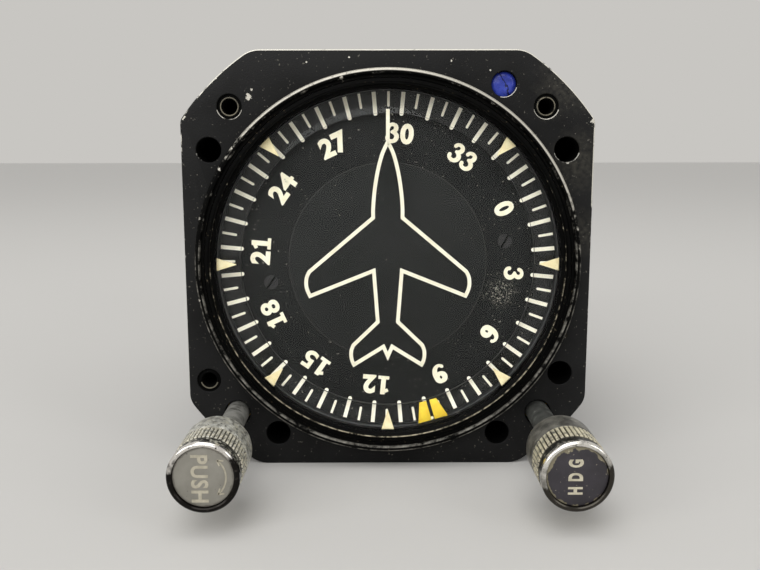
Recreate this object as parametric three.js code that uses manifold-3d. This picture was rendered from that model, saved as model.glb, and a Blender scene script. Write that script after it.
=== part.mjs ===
import * as THREE from 'three';
import { mergeVertices } from 'three/addons/utils/BufferGeometryUtils.js';
import Module from 'manifold-3d';

const wasm = await Module();
wasm.setup();

// Aircraft directional gyro, 3 1/8 inch panel size. Millimetres, +Z up, the dial faces -Y.
// Places are measured from the dial axis and the front face of the mounting flange.

// General fits
const running = 0.3;
const slip = 0.15;
const overrun = 1;
const weld = 0.0001;
const fine = 12;
const round = 36;

// The bezel's radius is the main size: the flange, the dial and the case all follow it
const bezelRadius = 38.7;
const bezelWall = 1.8;
const bezelBore = bezelRadius - bezelWall;
const bezelChamfer = 0.7;
const bezelCrest = 0.9;
const bezelProud = 0.5;
const retainerWidth = 2;
const retainerHeight = 0.9;
const retainerBore = bezelBore - retainerWidth;
const glassThickness = 1.8;
const glassGap = 0.6;
const bezelHeight = glassGap + glassThickness + retainerHeight + bezelProud;
const gasketWidth = 1.8;
const gasketBore = bezelBore - gasketWidth;
const gasketThickness = 0.3;

// Mounting flange and the gear case behind it
const flangeMargin = 2.575;
const flangeExtraHeight = 2.35;
const flangeWidth = 2 * (bezelRadius + flangeMargin);
const flangeHeight = flangeWidth + flangeExtraHeight;
const flangeThickness = 4;
const cornerCut = 8.9083;
const cornerRadius = Math.hypot(flangeWidth / 2, flangeHeight / 2) - cornerCut;
const gearCaseInset = 0.8;
const cavityInset = 0.5;
const cavityStep = 1.5;
const cavityRadius = bezelRadius - cavityInset;
const cavityFront = flangeThickness + cavityStep;
const lipWidth = 1.9;
const lipRadius = bezelBore - lipWidth;
const lipThickness = 1.7;
const fixingMargin = 5.75;
const fixingReach = bezelRadius + fixingMargin;
const fixingAngle = Math.PI / 4;

// Holes in the flange
const bigHoleRadius = 2.5;
const bigHoleInset = 1.95;
const bigHoleReach = fixingReach - bigHoleInset;
const bigHoleAngle = 12.3 * Math.PI / 180;
const bigHoleDepth = 14;
const insertHoleRadius = 2.45;
const insertHoleDepth = 10;
const insertBore = 1.45;
const insertLength = 7;
const lowInsertAngle = 33.3 * Math.PI / 180;
const plugDepth = 2;
const plugProud = 0.2;

// Fixed marks behind the glass
const markThickness = 0.3;
const lubberWidth = 2.2;
const lubberBore = bezelBore - lubberWidth;
const pointerBase = 2.6;
const pointerTip = 0.3;
const pointerLength = 4;
const pointerStep = Math.PI / 4;
const symbolLine = 0.6;
const symbolNoseLine = 6.5;
const symbolNose = 24.4;
const symbolShoulder = 9.35;
const symbolBody = 3;
const symbolSpan = 17;
const symbolTail = 7.8;
const symbolNoseShares = [0.82, 0.63, -0.485, -0.69, -0.77, -0.87, -0.7, -0.81];
const symbolWingShares = [0.97, 1, 0.95];
const symbolWingDropShares = [-0.22, -0.45, -0.74];
const symbolRootDropShare = -0.12;
const symbolBodyShares = [0.6, 0.88, 0.7];
const symbolTailShares = [0.92, 1, 0.93, 0.13];

// Knobs and their shafts
const knobFace = 36;
const knobRadius = 6.25;
const knobRimLength = 1.1;
const knobGroove = 0.5;
const knobGrooveLength = 0.7;
const knurlLength = 6.6;
const knurlDepth = 0.3;
const knurlCount = 24;
const knobSkirtLength = 5.6;
const knobDomeLength = 3;
const knobNeckRadius = 4.2;
const capRadius = 5.2;
const capRecess = 0.5;
const capThickness = 1.2;
const shaftRadius = 2.38;
const shaftHole = 2.65;
const bushBore = 2.5;
const pocketShaftRadius = 3.7;
const pocketIdlerRadius = 3.9;

// Small gears behind the flange: a pinion on each knob's shaft turns an idler with a friction tyre
const knobTeeth = 8;
const idlerTeeth = 10;
const toothSize = 0.6;
const idlerReach = fixingReach - toothSize * (knobTeeth + idlerTeeth) / 2;
const tyreRadius = 2.7;
const idlerPinRadius = 1.1;
const bushLength = 1.7;
const bushBack = flangeThickness + bushLength;
const hdgTyreFront = bushBack + running;
const hdgTyreWidth = 3;
const idlerGearFront = hdgTyreFront + hdgTyreWidth;
const idlerGearWidth = 2;
const idlerGearBack = idlerGearFront + idlerGearWidth;
const cageTyreWidth = 2;
const cageTyreBack = idlerGearBack + cageTyreWidth;
const pinionOverlap = 0.4;
const knobPinionFront = idlerGearFront - pinionOverlap;
const knobPinionBack = idlerGearBack + pinionOverlap;
const hdgShaftTail = 1.6;
const hdgShaftBack = knobPinionBack + hdgShaftTail;

// Heading bug and the clear ring that carries it; the tyre of the right idler drives the drum
const setRingRadius = idlerReach - tyreRadius - running;
const bugRingWidth = 5.95;
const bugRingBore = setRingRadius - bugRingWidth;
const bugRingFront = lipThickness + running;
const bugRingThickness = 0.8;
const bugRingBack = bugRingFront + bugRingThickness;
const bugDrumWall = 0.95;
const bugDrumBore = setRingRadius - bugDrumWall;
const bugDrumBack = idlerGearFront - running;
const bugAngle = 16.3 * Math.PI / 180;
const bugMargin = 0.3;
const bugLength = 4.3;
const bugOuter = lipRadius - bugMargin;
const bugInner = bugOuter - bugLength;
const bugOuterHalf = 2.9;
const bugInnerHalf = 1.45;
const bugGap = 0.7;
const bugBase = 0.15;
const bugThickness = 0.5;

// Caging mechanism
const cageTravel = 4;
const carriageFront = cageTyreBack + running;
const carriageThickness = 1.5;
const carriageBack = carriageFront + carriageThickness;
const carriageHalf = 3.3;
const carriageNose = 2.4;
const pushRodRadius = 1.2;
const armPivotReach = 27;
const armThickness = 3;
const armHalf = 1.5;
const armGap = 0.2;
const armPivotBack = carriageBack + cageTravel + armHalf + armGap;
const armLength = 20.5;
const armBoss = 2.5;
const armPinRadius = 1.1;
const armEarThickness = 2;
const armSlotLength = 8.5;
const springCoilRadius = 3;
const springWire = 0.32;
const springTurns = 6;
const springSides = 5;
const springSteps = 8;

// Compass card and its hub; the rim of the hub lies beside the left idler's tyre when that is pushed in
const cardMargin = 0.2;
const cardRadius = lipRadius - cardMargin;
const cardGap = 0.7;
const cardFront = bugRingBack + cardGap;
const cardThickness = 1;
const cardBack = cardFront + cardThickness;
const centerPlateThickness = 0.3;
const cardScrewAngle = 10 * Math.PI / 180;
const cardScrewHead = 1.45;
const cardScrewShank = 0.8;
const cardScrewSlot = 0.4;
const hubFlangeInset = 7.8;
const hubFlangeRadius = cardRadius - hubFlangeInset;
const hubFlangeThickness = 1.5;
const cardScrewInset = 2.4;
const cardScrewReach = hubFlangeRadius - cardScrewInset;
const centerPlateInset = 4.1;
const centerPlateRadius = cardScrewReach - centerPlateInset;
const hubFlangeBack = cardBack + hubFlangeThickness;
const hubTubeRadius = 8;
const setRingThickness = 1.5;
const setRingBack = cageTyreBack + cageTravel;
const setRingFront = setRingBack - setRingThickness;
const hubHoleRadius = 5;
const hubHoleInset = 13.05;
const hubHoleReach = setRingRadius - hubHoleInset;
const hubHoleCount = 6;
const cardShaftRadius = 2.5;
const cardBearingRadius = 4.45;

// Case shell, then inwards from it the fixed gimbal frame, the gimbals and the rotor
const caseMargin = 0.3;
const caseRadius = bezelRadius + caseMargin;
const caseWall = 1.5;
const caseBore = caseRadius - caseWall;
const caseFlangeThickness = 3;
const caseLipWidth = 4.5;
const caseLipBore = caseBore - caseLipWidth;
const caseLipLength = 5;
const caseScrewRadius = 1.5;
const caseScrewHead = 3;
const caseScrewHeadLength = 2.2;
const caseScrewGrip = 6;
const frameWall = 5.2;
const frameRadius = caseBore - running;
const frameBore = frameRadius - frameWall;
const frameWidth = 8;
const frameBossHalf = 6;
const frameBossLength = 3.4;
const frameBossInner = frameBore - frameBossLength;
const frameArmDepth = 3.7;
const frameArmHalf = 4;
const frameArmAngles = [45, 135, 200, 340].map((degrees) => degrees * Math.PI / 180);
const outerRingGap = 1.6;
const outerRingWall = 2.5;
const outerRingRadius = frameBossInner - outerRingGap;
const outerRingBore = outerRingRadius - outerRingWall;
const outerRingWidth = 8;
const pivotRadius = 2;
const pivotLength = 5;
const pivotBearingRadius = 4;
const innerRingGap = 2.2;
const innerRingWall = 2.5;
const innerRingRadius = outerRingBore - innerRingGap;
const innerRingBore = innerRingRadius - innerRingWall;
const innerRingWidth = 7;
const tiltPinRadius = 1.5;
const tiltBearingRadius = 3;
const axleRadius = 1.5;
const rotorBearingRadius = 3;
const rotorGap = 3.5;
const rotorCornerGap = 0.9335;
const rotorRadius = innerRingBore - rotorGap;
const rotorWidth = 2 * Math.sqrt((innerRingBore - rotorCornerGap) ** 2 - rotorRadius ** 2);
const rotorWeb = 6;
const rotorHub = 4.5;
const rotorWebShare = 0.5508;
const rotorRimBore = rotorHub + (rotorRadius - rotorHub) * rotorWebShare;
const bucketCount = 12;
const bucketDepth = 1;
const bucketWidth = 2.2;
const bucketLength = 9;

// Card gearing: the shaft under the card gear lies just outside the outer gimbal's ring
const cardTeeth = 42;
const cardPinionTeeth = 14;
const crownTeeth = 36;
const crownPinionTeeth = 12;
const transferMargin = 1;
const transferDrop = outerRingRadius + transferMargin;
const gearModule = 2 * transferDrop / (cardTeeth + cardPinionTeeth);
const cardGearGap = 2;
const cardGearFront = setRingBack + cardGearGap;
const gearWidth = 2.5;
const cardGearBack = cardGearFront + gearWidth;
const transferRadius = 2;
const crownFace = 3;
const crownPlate = 1.2;
const crownPlateWidth = 7;
const crownRadius = gearModule * crownTeeth / 2;
const crownBore = crownRadius - crownPlateWidth;
const crownPitchDrop = transferDrop - gearModule * crownPinionTeeth / 2;
const tailBearingHalf = 3.5;
const tailBearingLength = 3;
const tailGap = 0.5;
const addendumShare = 0.58;
const dedendumShare = 0.95;
const toothRootShare = 0.46;
const toothTipShare = 0.15;

// Bearing plate, and the places along the dial axis behind it
const plateThickness = 2;
const plateBossRadius = 7;
const plateBossLength = 4;
const plateBossGap = 2.5;
const plateFront = cardGearBack + plateBossGap + plateBossLength;
const plateBack = plateFront + plateThickness;
const cardShaftProud = 1;
const cardShaftBack = plateBack + cardShaftProud;
const cageShaftGap = 0.5;
const cageShaftBack = plateFront - cageTravel - cageShaftGap;
const caseFlangeBack = plateBack + caseFlangeThickness;
const gimbalFrontGap = 5;
const gimbalBack = plateBack + gimbalFrontGap + outerRingRadius;
const crownPinionBack = gimbalBack - crownRadius - tailGap;
const tailBack = crownPinionBack + gearWidth / 2 + tailGap + tailBearingLength;
const gimbalRearGap = 15;
const caseBack = gimbalBack + outerRingRadius + gimbalRearGap;

// Rear cover and air ports
const rearCoverThickness = 3.5;
const rearCoverBack = caseBack + rearCoverThickness;
const rearScrewInset = 2.1;
const rearScrewReach = caseBore - rearScrewInset;
const rearScrewRadius = 1.2;
const rearScrewHead = 2.4;
const rearScrewHeadLength = 1.6;
const rearScrewCount = 3;
const portInset = 16;
const portOffset = caseLipBore - portInset;
const portBore = 3.5;
const portRadius = 6.5;
const portHexRadius = 9.5;
const portHexLength = 6;
const portLength = 15;
const portBack = rearCoverBack + portLength;
const portSpigotRadius = 5.5;
const filterRadius = 12;
const filterLength = 6;

const symbolBack = -glassGap + markThickness;
const cageAngle = -Math.PI + fixingAngle;
const hdgAngle = -fixingAngle;

// Materials
function finish(color, roughness, metalness) {
  return new THREE.MeshStandardMaterial({ color, roughness, metalness });
}
const blackPaint = finish(0x232426, 0.55, 0.3);
const blackMetal = finish(0x1d1e20, 0.4, 0.6);
const glassClear = finish(0xdfe6ea, 0.05, 0);
const rubber = finish(0x151515, 0.9, 0);
const creamPaint = finish(0xe8e0c4, 0.6, 0);
const yellowPaint = finish(0xf0c030, 0.55, 0);
const blueSealant = finish(0x3550cc, 0.4, 0);
const nickel = finish(0x9a978c, 0.35, 0.9);
const steel = finish(0xa8abae, 0.3, 1);
const brass = finish(0xc2a14d, 0.35, 1);
const aluminium = finish(0xb4b7ba, 0.4, 0.9);
const feltGrey = finish(0xcfcabb, 0.95, 0);

// A closed solid from a geometry, with its shared corners merged and empty triangles dropped
function solid(geometry) {
  const bare = geometry.index ? geometry.clone() : geometry;
  bare.deleteAttribute('normal');
  bare.deleteAttribute('uv');
  const merged = mergeVertices(bare, weld);
  const index = merged.index.array;
  const kept = [];
  for (let i = 0; i < index.length; i += 3) {
    const [a, b, c] = [index[i], index[i + 1], index[i + 2]];
    if (a !== b && b !== c && c !== a) kept.push(a, b, c);
  }
  return new wasm.Manifold(new wasm.Mesh({
    numProp: 3,
    vertProperties: new Float32Array(merged.attributes.position.array),
    triVerts: new Uint32Array(kept),
  }));
}

function geometryOf(body) {
  const mesh = body.getMesh();
  const geometry = new THREE.BufferGeometry();
  geometry.setAttribute('position', new THREE.BufferAttribute(mesh.vertProperties, 3));
  geometry.setIndex(new THREE.BufferAttribute(mesh.triVerts, 1));
  geometry.computeVertexNormals();
  return geometry;
}

// A turned body about the dial direction. The outline is [radius, place] pairs, closed on itself.
function turned(outline, segments = fine) {
  let area = 0;
  outline.forEach(([r0, y0], i) => {
    const [r1, y1] = outline[(i + 1) % outline.length];
    area += r0 * y1 - r1 * y0;
  });
  const ordered = area > 0 ? outline : [...outline].reverse();
  const points = [...ordered, ordered[0]].map(([r, y]) => new THREE.Vector2(r, y));
  return solid(new THREE.LatheGeometry(points, segments));
}

function ring(outer, bore, front, back, segments = fine) {
  return turned([[bore, front], [outer, front], [outer, back], [bore, back]], segments);
}

function rod(radius, front, back, x = 0, z = 0, segments = fine) {
  const geometry = new THREE.CylinderGeometry(radius, radius, back - front, segments);
  return solid(geometry.translate(x, (front + back) / 2, z));
}

// A flat shape drawn in x and z, extruded from front to back along the dial direction
function slab(shape, front, back) {
  const geometry = new THREE.ExtrudeGeometry(shape, { depth: back - front, bevelEnabled: false, steps: 1 });
  return solid(geometry.rotateX(Math.PI / 2).translate(0, back, 0));
}

function box(x0, x1, y0, y1, z0, z1) {
  const geometry = new THREE.BoxGeometry(x1 - x0, y1 - y0, z1 - z0);
  return solid(geometry.translate((x0 + x1) / 2, (y0 + y1) / 2, (z0 + z1) / 2));
}

function polygon(points) {
  return new THREE.Shape(points.map(([x, z]) => new THREE.Vector2(x, z)));
}

const join = (bodies) => bodies.reduce((sum, body) => sum.add(body));
const cut = (body, tools) => tools.reduce((rest, tool) => rest.subtract(tool), body);
const polar = (radius, angle) => [radius * Math.cos(angle), radius * Math.sin(angle)];

// Turns a body built along +X about the dial axis, so that it points to an angle in the x-z plane
const swing = (body, angle) => body.rotate([0, -angle * 180 / Math.PI, 0]);

// Moves a body that was built on the dial axis to a place in the x-z plane
const shifted = (body, [x, z]) => body.translate([x, 0, z]);

const assembly = new THREE.Group();

function piece(name, body, material) {
  const mesh = new THREE.Mesh(geometryOf(body), material);
  mesh.name = name;
  assembly.add(mesh);
}

// Flange outline: a rectangle with its four corners cut by one circle about the dial axis
function flangeShape(inset) {
  const halfWidth = flangeWidth / 2 - inset;
  const halfHeight = flangeHeight / 2 - inset;
  const radius = cornerRadius - inset;
  const first = Math.acos(halfWidth / radius);
  const last = Math.asin(halfHeight / radius);
  const points = [];
  const steps = 6;
  for (let quarter = 0; quarter < 4; quarter++) {
    for (let i = 0; i <= steps; i++) {
      const share = quarter % 2 ? 1 - i / steps : i / steps;
      const [x, z] = polar(radius, first + (last - first) * share);
      points.push([quarter === 1 || quarter === 2 ? -x : x, quarter > 1 ? -z : z]);
    }
  }
  return polygon(points);
}

// Spur gear outline with short trapezoid teeth; phase is the angle of the first tooth
function gearShape(teeth, module, phase) {
  const pitch = module * teeth / 2;
  const tip = pitch + module * addendumShare;
  const root = pitch - module * dedendumShare;
  const step = 2 * Math.PI / teeth;
  const points = [];
  for (let i = 0; i < teeth; i++) {
    const angle = phase + i * step;
    points.push(polar(root, angle - step * toothRootShare / 2));
    points.push(polar(tip, angle - step * toothTipShare / 2));
    points.push(polar(tip, angle + step * toothTipShare / 2));
    points.push(polar(root, angle + step * toothRootShare / 2));
  }
  return polygon(points);
}

const bigHoles = [
  polar(bigHoleReach, Math.PI - fixingAngle + bigHoleAngle),
  polar(bigHoleReach, fixingAngle - bigHoleAngle),
  polar(bigHoleReach, cageAngle + bigHoleAngle),
  polar(bigHoleReach, hdgAngle - bigHoleAngle),
  polar(bigHoleReach, hdgAngle + bigHoleAngle),
];
const sealHole = polar(bigHoleReach, fixingAngle + bigHoleAngle);
const insertPlaces = {
  insert_upper_left: polar(fixingReach, Math.PI - fixingAngle),
  insert_upper_right: polar(fixingReach, fixingAngle),
  insert_lower_left: polar(fixingReach, -Math.PI + lowInsertAngle),
};
const caseScrewPlaces = [
  polar(fixingReach, Math.PI - fixingAngle),
  polar(fixingReach, fixingAngle),
  polar(bigHoleReach, cageAngle + bigHoleAngle),
  polar(bigHoleReach, hdgAngle - bigHoleAngle),
];
const cagePlace = polar(fixingReach, cageAngle);
const hdgPlace = polar(fixingReach, hdgAngle);
const hdgIdlerPlace = polar(idlerReach, hdgAngle);
const cageIdlerPlace = polar(idlerReach, cageAngle);

// Room for one knob shaft and its idler, open to the back of the gear case
function cornerPocket(angle) {
  const slot = box(
    idlerReach, fixingReach,
    flangeThickness, plateFront + overrun,
    -pocketShaftRadius, pocketShaftRadius);
  const rooms = [
    rod(pocketIdlerRadius, flangeThickness, plateFront + overrun, idlerReach),
    rod(pocketShaftRadius, flangeThickness, plateFront + overrun, fixingReach),
  ];
  return swing(join([slot, ...rooms]), angle);
}

function frontHousing() {
  const flange = slab(flangeShape(0), 0, flangeThickness);
  const body = flange.add(slab(flangeShape(gearCaseInset), flangeThickness, plateFront));
  const tapped = caseScrewPlaces.map(([x, z]) => (
    rod(caseScrewRadius + slip, plateFront - caseScrewGrip - overrun, plateFront + overrun, x, z)));
  const hollow = cut(body, [
    rod(lipRadius, -overrun, lipThickness + overrun, 0, 0, round),
    rod(setRingRadius + running, lipThickness, cavityFront + overrun, 0, 0, round),
    rod(cavityRadius, cavityFront, plateFront + overrun, 0, 0, round),
    cornerPocket(cageAngle),
    cornerPocket(hdgAngle),
    rod(shaftHole, -overrun, flangeThickness + overrun, ...cagePlace),
    rod(shaftHole, -overrun, flangeThickness + overrun, ...hdgPlace),
    ...[...bigHoles, sealHole].map(([x, z]) => rod(bigHoleRadius, -overrun, bigHoleDepth, x, z)),
    ...Object.values(insertPlaces).map(([x, z]) => rod(insertHoleRadius, -overrun, insertHoleDepth, x, z)),
    ...tapped,
  ]);
  const stub = rod(idlerPinRadius, flangeThickness - slip, idlerGearBack + running, ...hdgIdlerPlace);
  return hollow.add(stub);
}

function bezelRing() {
  return turned([
    [bezelBore, 0],
    [bezelRadius, 0],
    [bezelRadius, bezelChamfer - bezelHeight],
    [bezelRadius - bezelChamfer / 2, -bezelHeight],
    [bezelRadius - bezelChamfer / 2 - bezelCrest, -bezelHeight],
    [bezelBore, bezelCrest - bezelHeight],
  ], round);
}

function retainingRing() {
  const back = -glassGap - glassThickness;
  const front = back - retainerHeight;
  const outer = bezelBore - slip;
  const land = (outer - retainerBore) / 4;
  return turned([
    [retainerBore, back],
    [outer, back],
    [outer, (front + back) / 2],
    [outer - land, (front + back) / 2],
    [outer - 2 * land, front],
    [outer - 3 * land, front],
    [retainerBore, (front + 3 * back) / 4],
  ], round);
}

// Thin ring with a triangle at each 45 degrees but the top, all pointing to the centre
function lubberRing() {
  const rim = ring(bezelBore - slip, lubberBore, -glassGap, symbolBack, round);
  const pointers = [];
  for (let i = 1; i < 8; i++) {
    const shape = polygon([
      [lubberBore + pointerBase / 4, -pointerBase / 2],
      [lubberBore + pointerBase / 4, pointerBase / 2],
      [lubberBore - pointerLength, pointerTip / 2],
      [lubberBore - pointerLength, -pointerTip / 2],
    ]);
    pointers.push(swing(slab(shape, -glassGap, symbolBack), Math.PI / 2 - i * pointerStep));
  }
  return join([rim, ...pointers]);
}

// Half outline of the aircraft symbol, nose up, as [x, z] in the sizes of its body, span and tail
function symbolOutline(grow) {
  const along = symbolNoseShares.map((share) => share * symbolNose);
  const [upper, lower, waist, fin, tip, heel, notch, tail] = along;
  const [wingLead, wingTip, wingTrail] = symbolWingShares.map((share) => share * symbolSpan);
  const [leadDrop, tipDrop, trailDrop] = symbolWingDropShares.map((share) => share * symbolShoulder);
  const [cheek, flank, rear] = symbolBodyShares.map((share) => share * symbolBody);
  const [finX, tipX, heelX, notchX] = symbolTailShares.map((share) => share * symbolTail);
  const half = [
    [0, symbolNose + grow * 2],
    [cheek + grow, upper],
    [flank + grow, lower],
    [symbolBody + grow, symbolShoulder + grow / 2],
    [wingLead + grow / 2, leadDrop + grow],
    [wingTip + grow, tipDrop],
    [wingTrail + grow / 2, trailDrop - grow],
    [symbolBody + grow, symbolRootDropShare * symbolShoulder - grow * 2],
    [rear + grow, waist + grow / 2],
    [finX + grow / 2, fin + grow],
    [tipX + grow, tip],
    [heelX + grow / 2, heel - grow],
    [notchX + grow, notch - grow],
    [0, tail - grow * 2],
  ];
  const left = half.slice(1, -1).reverse().map(([x, z]) => [-x, z]);
  return polygon([...half, ...left].reverse());
}

function aircraftSymbol() {
  const outer = slab(symbolOutline(symbolLine / 2), -glassGap, symbolBack);
  const inner = slab(symbolOutline(-symbolLine / 2), -glassGap - overrun, symbolBack + overrun);
  const noseTip = symbolNose + symbolNoseLine;
  const nose = box(-symbolLine / 2, symbolLine / 2, -glassGap, symbolBack, symbolNose, noseTip);
  return outer.subtract(inner).add(nose);
}

// The front of the instrument, all fixed
piece('front_housing', frontHousing(), blackPaint);
piece('bezel_ring', bezelRing(), blackPaint);
piece('retaining_ring', retainingRing(), blackMetal);
const glassRadius = bezelBore - slip;
piece('cover_glass', rod(glassRadius, -glassGap - glassThickness, -glassGap, 0, 0, round), glassClear);
piece('glass_gasket', ring(glassRadius, gasketBore, -gasketThickness, 0, round), rubber);
piece('lubber_ring', lubberRing(), creamPaint);
piece('aircraft_symbol', aircraftSymbol(), creamPaint);
for (const [name, place] of Object.entries(insertPlaces)) {
  piece(name, shifted(ring(insertHoleRadius - slip, insertBore, 0, insertLength), place), steel);
}
piece('seal_plug', rod(bigHoleRadius - slip, -plugProud, plugDepth, ...sealHole), blueSealant);

// Compass card assembly
const cardScrewPlaces = [0, Math.PI].map((turn) => polar(cardScrewReach, cardScrewAngle + turn));
const screwHoles = cardScrewPlaces.map(([x, z]) => (
  rod(cardScrewShank + slip, cardFront - overrun, hubFlangeBack + overrun, x, z)));

function cardHub() {
  const body = turned([
    [0, cardBack],
    [hubFlangeRadius, cardBack],
    [hubFlangeRadius, hubFlangeBack],
    [hubTubeRadius, hubFlangeBack],
    [hubTubeRadius, setRingFront],
    [setRingRadius, setRingFront],
    [setRingRadius, setRingBack],
    [cardShaftRadius, setRingBack],
    [cardShaftRadius, cardShaftBack],
    [0, cardShaftBack],
  ], round);
  const holes = [];
  for (let i = 0; i < hubHoleCount; i++) {
    const place = polar(hubHoleReach, (i + 0.5) * 2 * Math.PI / hubHoleCount);
    holes.push(rod(hubHoleRadius, setRingFront - overrun, setRingBack + overrun, ...place));
  }
  return cut(body, [...screwHoles, ...holes]);
}

function cardScrew([x, z]) {
  const head = rod(cardScrewHead, cardFront - centerPlateThickness, cardFront, x, z);
  const shank = rod(cardScrewShank, cardFront, hubFlangeBack, x, z);
  const front = cardFront - centerPlateThickness;
  const slot = box(
    x - cardScrewHead * 2, x + cardScrewHead * 2,
    front - overrun, front + centerPlateThickness / 2,
    z - cardScrewSlot / 2, z + cardScrewSlot / 2);
  return head.add(shank).subtract(slot);
}

piece('compass_card', cut(rod(cardRadius, cardFront, cardBack, 0, 0, round), screwHoles), blackPaint);
const centerPlate = rod(centerPlateRadius, cardFront - centerPlateThickness, cardFront, 0, 0, round);
piece('card_center_plate', centerPlate, blackPaint);
piece('card_screw_1', cardScrew(cardScrewPlaces[0]), blackMetal);
piece('card_screw_2', cardScrew(cardScrewPlaces[1]), blackMetal);
piece('card_hub', cardHub(), aluminium);
const cardGearShape = gearShape(cardTeeth, gearModule, -Math.PI / 2);
const cardGearBody = slab(cardGearShape, cardGearFront, cardGearFront + gearWidth);
const shaftBoreTool = rod(cardShaftRadius + slip, setRingBack, plateFront, 0, 0);
const cardGearBoss = rod(hubTubeRadius, setRingBack, cardGearFront, 0, 0);
piece('card_gear', cardGearBody.add(cardGearBoss).subtract(shaftBoreTool), brass);

// Heading bug
piece('bug_ring', ring(setRingRadius, bugRingBore, bugRingFront, bugRingBack, round), glassClear);
piece('bug_drum', ring(setRingRadius, bugDrumBore, bugRingBack, bugDrumBack, round), aluminium);

function headingBug() {
  const lobe = (side) => slab(polygon([
    [bugInner, side * bugGap / 2],
    [bugOuter, side * bugGap / 2],
    [bugOuter, side * bugOuterHalf],
    [bugInner, side * bugInnerHalf],
  ]), bugRingFront - bugThickness, bugRingFront - bugBase);
  const base = slab(polygon([
    [bugInner, -bugInnerHalf],
    [bugOuter, -bugOuterHalf],
    [bugOuter, bugOuterHalf],
    [bugInner, bugInnerHalf],
  ]), bugRingFront - bugBase, bugRingFront);
  return swing(join([base, lobe(1), lobe(-1)]), bugAngle - Math.PI / 2);
}
piece('heading_bug', headingBug(), yellowPaint);

// Knobs: the same turned profile on both shafts, with a straight knurl round the front half
function knobBody() {
  const front = -knobFace;
  const knurlFront = front + knobRimLength + knobGrooveLength;
  const skirtFront = knurlFront + knurlLength;
  const domeFront = skirtFront + knobSkirtLength;
  const body = turned([
    [shaftRadius + slip, front + capRecess + capThickness],
    [capRadius + slip, front + capRecess + capThickness],
    [capRadius + slip, front],
    [knobRadius - knobGroove / 2, front],
    [knobRadius - knobGroove / 2, front + knobRimLength],
    [knobRadius - knobGroove, front + knobRimLength],
    [knobRadius - knobGroove, skirtFront],
    [knobRadius, skirtFront],
    [knobRadius, domeFront],
    [knobRadius - knobGroove, domeFront + knobDomeLength / 3],
    [knobNeckRadius, domeFront + knobDomeLength],
    [shaftRadius + slip, domeFront + knobDomeLength],
  ], knurlCount);
  const bore = rod(shaftRadius + slip, knurlFront - overrun, skirtFront + overrun, 0, 0, knurlCount);
  return body.add(slab(knurlShape(), knurlFront, skirtFront).subtract(bore));
}

// Outline of the straight knurl, a flat-topped ridge and a groove for each count
function knurlShape() {
  const step = 2 * Math.PI / knurlCount;
  const points = [];
  for (let i = 0; i < knurlCount; i++) {
    points.push(polar(knobRadius, i * step));
    points.push(polar(knobRadius, (i + 0.5) * step));
    points.push(polar(knobRadius - knurlDepth, (i + 0.75) * step));
  }
  return polygon(points);
}

function knobCap() {
  return rod(capRadius, -knobFace + capRecess, -knobFace + capRecess + capThickness);
}

// Shaft with its pinion cut on it; the pinion has a gap facing the idler
function knobShaft(angle, back) {
  const front = rod(shaftRadius, -knobFace + capRecess + capThickness, knobPinionFront);
  const rear = rod(shaftRadius, knobPinionBack, back);
  const phase = angle + Math.PI + Math.PI / knobTeeth;
  const pinion = slab(gearShape(knobTeeth, toothSize, phase), knobPinionFront - slip, knobPinionBack + slip);
  return join([front, pinion, rear]);
}

function idler(angle, tyreFront, tyreBack) {
  const gear = slab(gearShape(idlerTeeth, toothSize, angle), idlerGearFront, idlerGearBack);
  const tyre = rod(tyreRadius, tyreFront, tyreBack);
  const bore = rod(idlerPinRadius + slip, hdgTyreFront - overrun, cageTyreBack + overrun);
  return gear.add(tyre).subtract(bore);
}

function bush() {
  return ring(pocketShaftRadius - slip, bushBore, flangeThickness, bushBack);
}

piece('hdg_knob', shifted(knobBody(), hdgPlace), blackMetal);
piece('hdg_cap', shifted(knobCap(), hdgPlace), blackPaint);
piece('hdg_shaft', shifted(knobShaft(hdgAngle, hdgShaftBack), hdgPlace), steel);
piece('hdg_bush', shifted(bush(), hdgPlace), brass);
piece('hdg_idler', shifted(idler(hdgAngle, hdgTyreFront, idlerGearFront + slip), hdgIdlerPlace), brass);
piece('cage_knob', shifted(knobBody(), cagePlace), nickel);
piece('cage_cap', shifted(knobCap(), cagePlace), aluminium);
piece('cage_shaft', shifted(knobShaft(cageAngle, cageShaftBack), cagePlace), steel);
piece('cage_bush', shifted(bush(), cagePlace), brass);
piece('cage_idler', shifted(idler(cageAngle, idlerGearBack - slip, cageTyreBack), cageIdlerPlace), brass);

// Caging carriage: a plate that slides with the knob and carries the idler pin and push rod
function cageCarriage() {
  const plate = join([
    rod(carriageNose, carriageFront, carriageBack, idlerReach),
    rod(carriageHalf, carriageFront, carriageBack, fixingReach),
    box(idlerReach, fixingReach, carriageFront, carriageBack, -carriageNose, carriageNose),
  ]);
  const pin = rod(idlerPinRadius, idlerGearFront, carriageFront + slip, idlerReach);
  const push = rod(pushRodRadius, carriageBack - slip, armPivotBack - armHalf - running, idlerReach);
  const clearHole = rod(shaftRadius + slip, carriageFront - overrun, carriageBack + overrun, fixingReach);
  return swing(join([plate.subtract(clearHole), pin, push]), cageAngle);
}
piece('cage_carriage', cageCarriage(), steel);

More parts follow.
